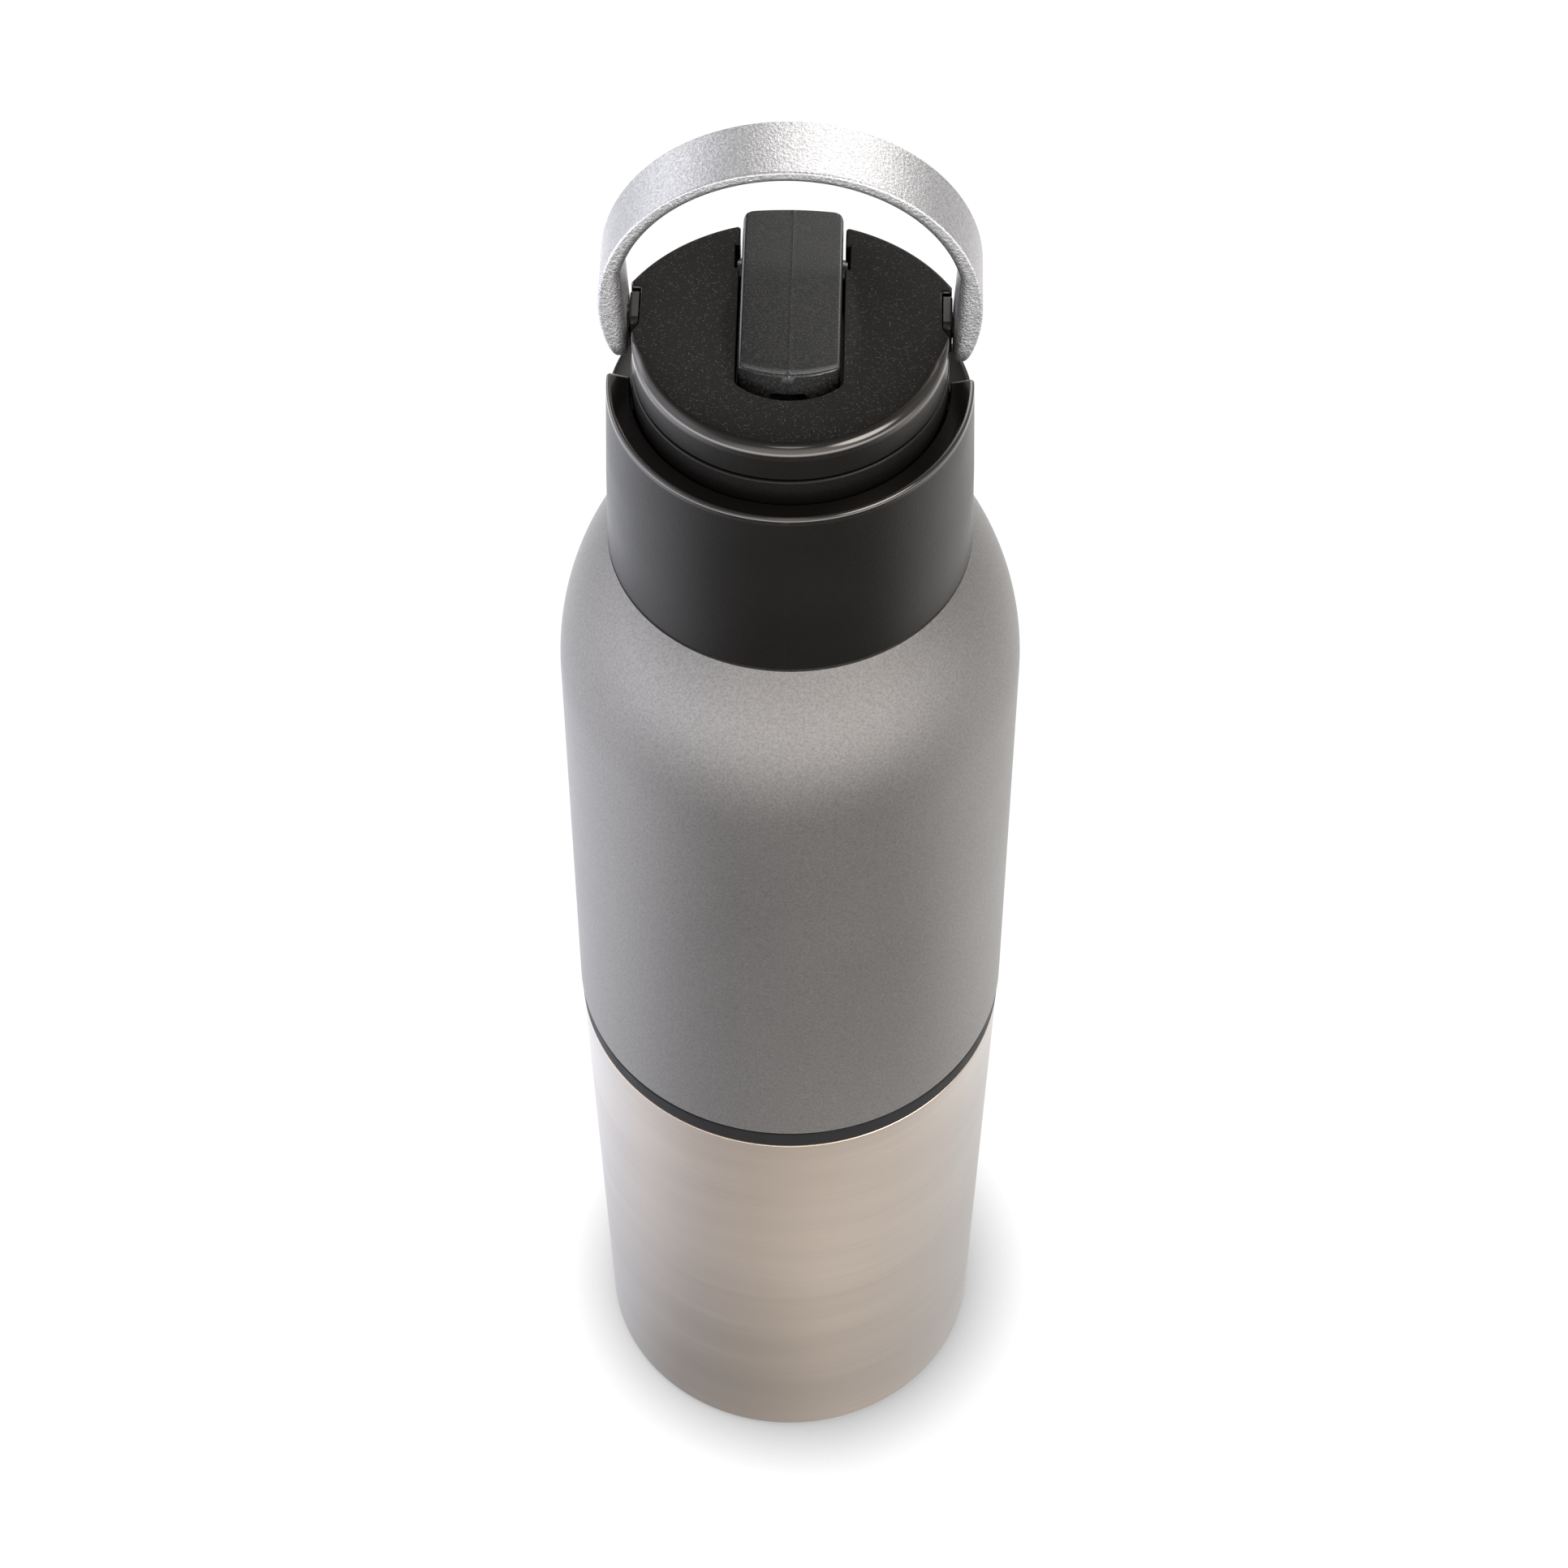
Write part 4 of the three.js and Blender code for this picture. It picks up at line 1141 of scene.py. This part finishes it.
def build_bottle():
    cup_plate, bottle_plate = 0.5, BODY_FOOT.z + 0.4  # heights of the base plates
    pieces = (
        cup_outer_shell(),
        cup_inner_liner(),
        vacuum_bottom("cup_base_plate", CUP_FOOT_INSIDE - CLEARANCE, cup_plate),
        vacuum_seal("cup_vacuum_seal", cup_plate + PLATE_DISH),
        bottle_outer_shell(),
        bottle_inner_liner(),
        vacuum_bottom("bottle_base_plate", SPIGOT_FOOT_INSIDE - CLEARANCE, bottle_plate),
        vacuum_seal("bottle_vacuum_seal", bottle_plate + PLATE_DISH),
        cup_grip_ring(),
        lid_collar(),
        lid_core(),
        lid_top_cap(),
        lid_gasket(),
        straw(),
        spout_seal(),
        air_vent_valve(),
        handle_pin("handle_pin_left", -1),
        handle_pin("handle_pin_right", 1),
        flip_spout(),
        handle(),
    )
    for piece in pieces:
        stands_for(piece, piece.name.removeprefix(PREFIX))


# ---- the studio ----
def facing(azimuth, elevation=0):
    """The direction at an azimuth from the camera's side and an elevation, both in degrees."""
    a, e = radians(azimuth), radians(elevation)
    return sin(a) * cos(e), -cos(a) * cos(e), sin(e)


def add_floor():
    """A pale floor. The camera sees glowing paper with a painted soft shadow round the foot. Reflections
    see a glow
    that stands for cards round the bottle: pale close by but with a painted shadow at the foot, dim in
    front, bright far away."""
    f = finish("floor")
    place = f.node("ShaderNodeNewGeometry").outputs["Position"]
    distance = f.node("ShaderNodeVectorMath", {0: place}, operation="LENGTH").outputs["Value"]
    towards = f.node("ShaderNodeVectorMath", {0: place}, operation="NORMALIZE").outputs["Vector"]

    def ahead(azimuth, low, high, strength):
        """Grows to strength where a place lies in one direction; low and high are cosines."""
        share = f.between(f.along(towards, facing(azimuth)), low, high, 0.0, 1.0, smooth=True)
        return f.times(share, strength)

    # painted shadow in the reflected glow: dimmer within about 5 cm of the foot and towards the left
    # front
    near = f.between(distance, 0.045, 0.095, 0.82, 1.3)
    near = f.minus(near, ahead(-50, 0.3, 0.95, 0.26))
    near = f.plus(near, ahead(-125, 0.0, 0.8, 0.35))
    middle = f.minus(1.4, ahead(5, 0.0, 0.8, 1.22))
    middle = f.plus(middle, ahead(-110, 0.0, 0.8, 0.4))
    far = f.plus(0.9, ahead(-15, -0.5, 0.6, 3.8))
    near_share = f.between(distance, 0.09, 0.14, 1.0, 0.0, smooth=True)
    far_share = f.between(distance, 0.33, 0.75, 0.0, 1.0, smooth=True)
    glow = f.mix(near_share, f.mix(far_share, middle, far), near)
    side = f.node("ShaderNodeSeparateXYZ", {"Vector": towards}).outputs[0]
    tint = f.blend(f.between(side, -0.9, -0.1, 0.0, 1.0), COOL, (1.0, 0.99, 0.98))
    seen = f.node("ShaderNodeEmission", {"Color": tint, "Strength": glow})

    # painted shadow: the paper's glow dims where nearby parts hide the sky, a little less on the left
    open_sky = f.node("ShaderNodeAmbientOcclusion", {"Distance": 0.018}, samples=16).outputs["AO"]
    open_sky = f.plus(open_sky, f.between(side, -1.0, 0.3, 0.1, 0.0))
    paper_with_painted_shadow = f.node("ShaderNodeEmission", {"Strength": f.between(open_sky, 0.5, 0.93, 0.52, 1.05)})
    bounce = f.node("ShaderNodeBsdfDiffuse", {"Color": (0.9, 0.9, 0.9, 1)})
    camera, glossy = f.ray("Is Camera Ray"), f.ray("Is Glossy Ray")
    pale = f.node("ShaderNodeMixShader", {0: camera, 1: bounce.outputs[0], 2: paper_with_painted_shadow.outputs[0]})
    mixed = f.node("ShaderNodeMixShader", {0: glossy, 1: pale.outputs[0], 2: seen.outputs[0]})
    f.node("ShaderNodeOutputMaterial", {"Surface": mixed.outputs[0]})

    steps, reach = 96, 4000
    turns = [2 * pi * k / steps for k in range(steps)]
    rim = [(reach * cos(turn), reach * sin(turn), 0) for turn in turns]
    floor = build("floor", rim, [tuple(range(steps))])
    floor.data.materials.append(f.owner)


# Soft lights by direction: azimuth from the camera's side, elevation, half-angle where the light
# stops being full, half-angle where it ends (all in degrees), and strength.
SOFT_LIGHTS = (
    (0, 4, 10, 60, 1.6),
    (-90, 12, 10, 55, 1.15),
    (90, 12, 10, 55, 0.25),
    (158, 30, 12, 33, 3.6),
    (180, 48, 5, 18, 1.6),
    (-132, 6, 8, 32, 2.0),
    (54, 38, 11, 22, 7.5),
    (0, 70, 3, 9, 3.0),
)


def add_studio_light():
    """A room drawn by direction: dim walls with soft lights all round. The camera sees plain white."""
    world = bpy.data.worlds.new("studio")
    bpy.context.scene.world = world
    f = Shading(world)
    direction = f.node("ShaderNodeTexCoord").outputs["Generated"]
    total = 0.35  # strength of the dim walls
    for azimuth, elevation, full, end, strength in SOFT_LIGHTS:
        share = f.along(direction, facing(azimuth, elevation))
        edge, middle = cos(radians(end)), cos(radians(full))
        total = f.plus(f.between(share, edge, middle, 0.0, strength, smooth=True), total)
    side = f.node("ShaderNodeSeparateXYZ", {"Vector": direction}).outputs[0]
    tint = f.blend(f.between(side, -0.9, -0.2, 0.0, 1.0), COOL, (1.0, 0.985, 0.97))
    light = f.node("ShaderNodeBackground", {"Color": tint, "Strength": total})
    white = f.node("ShaderNodeBackground", {"Color": (1, 1, 1, 1), "Strength": 1.2})
    camera = f.ray("Is Camera Ray")
    mixed = f.node("ShaderNodeMixShader", {0: camera, 1: light.outputs[0], 2: white.outputs[0]})
    f.node("ShaderNodeOutputWorld", {"Surface": mixed.outputs[0]})


def add_camera():
    """A long lens that looks down on the bottle from the drinking side."""
    back, height = 433.74, 724.64  # from the centre of the cup's foot
    turn = radians(1.4)
    pitch = radians(52.68)
    data = bpy.data.cameras.new("camera")
    data.sensor_width = 36
    data.lens = 99.25
    data.shift_x = -0.0039
    data.clip_start = 0.01
    camera = bpy.data.objects.new("camera", data)
    camera.location = Vector((back * sin(turn), -back * cos(turn), height)) * MM
    camera.rotation_euler = (pi / 2 - pitch, 0, turn)
    bpy.context.scene.collection.objects.link(camera)
    bpy.context.scene.camera = camera


build_bottle()
add_floor()
add_studio_light()
add_camera()
bpy.context.scene.view_settings.view_transform = "Standard"
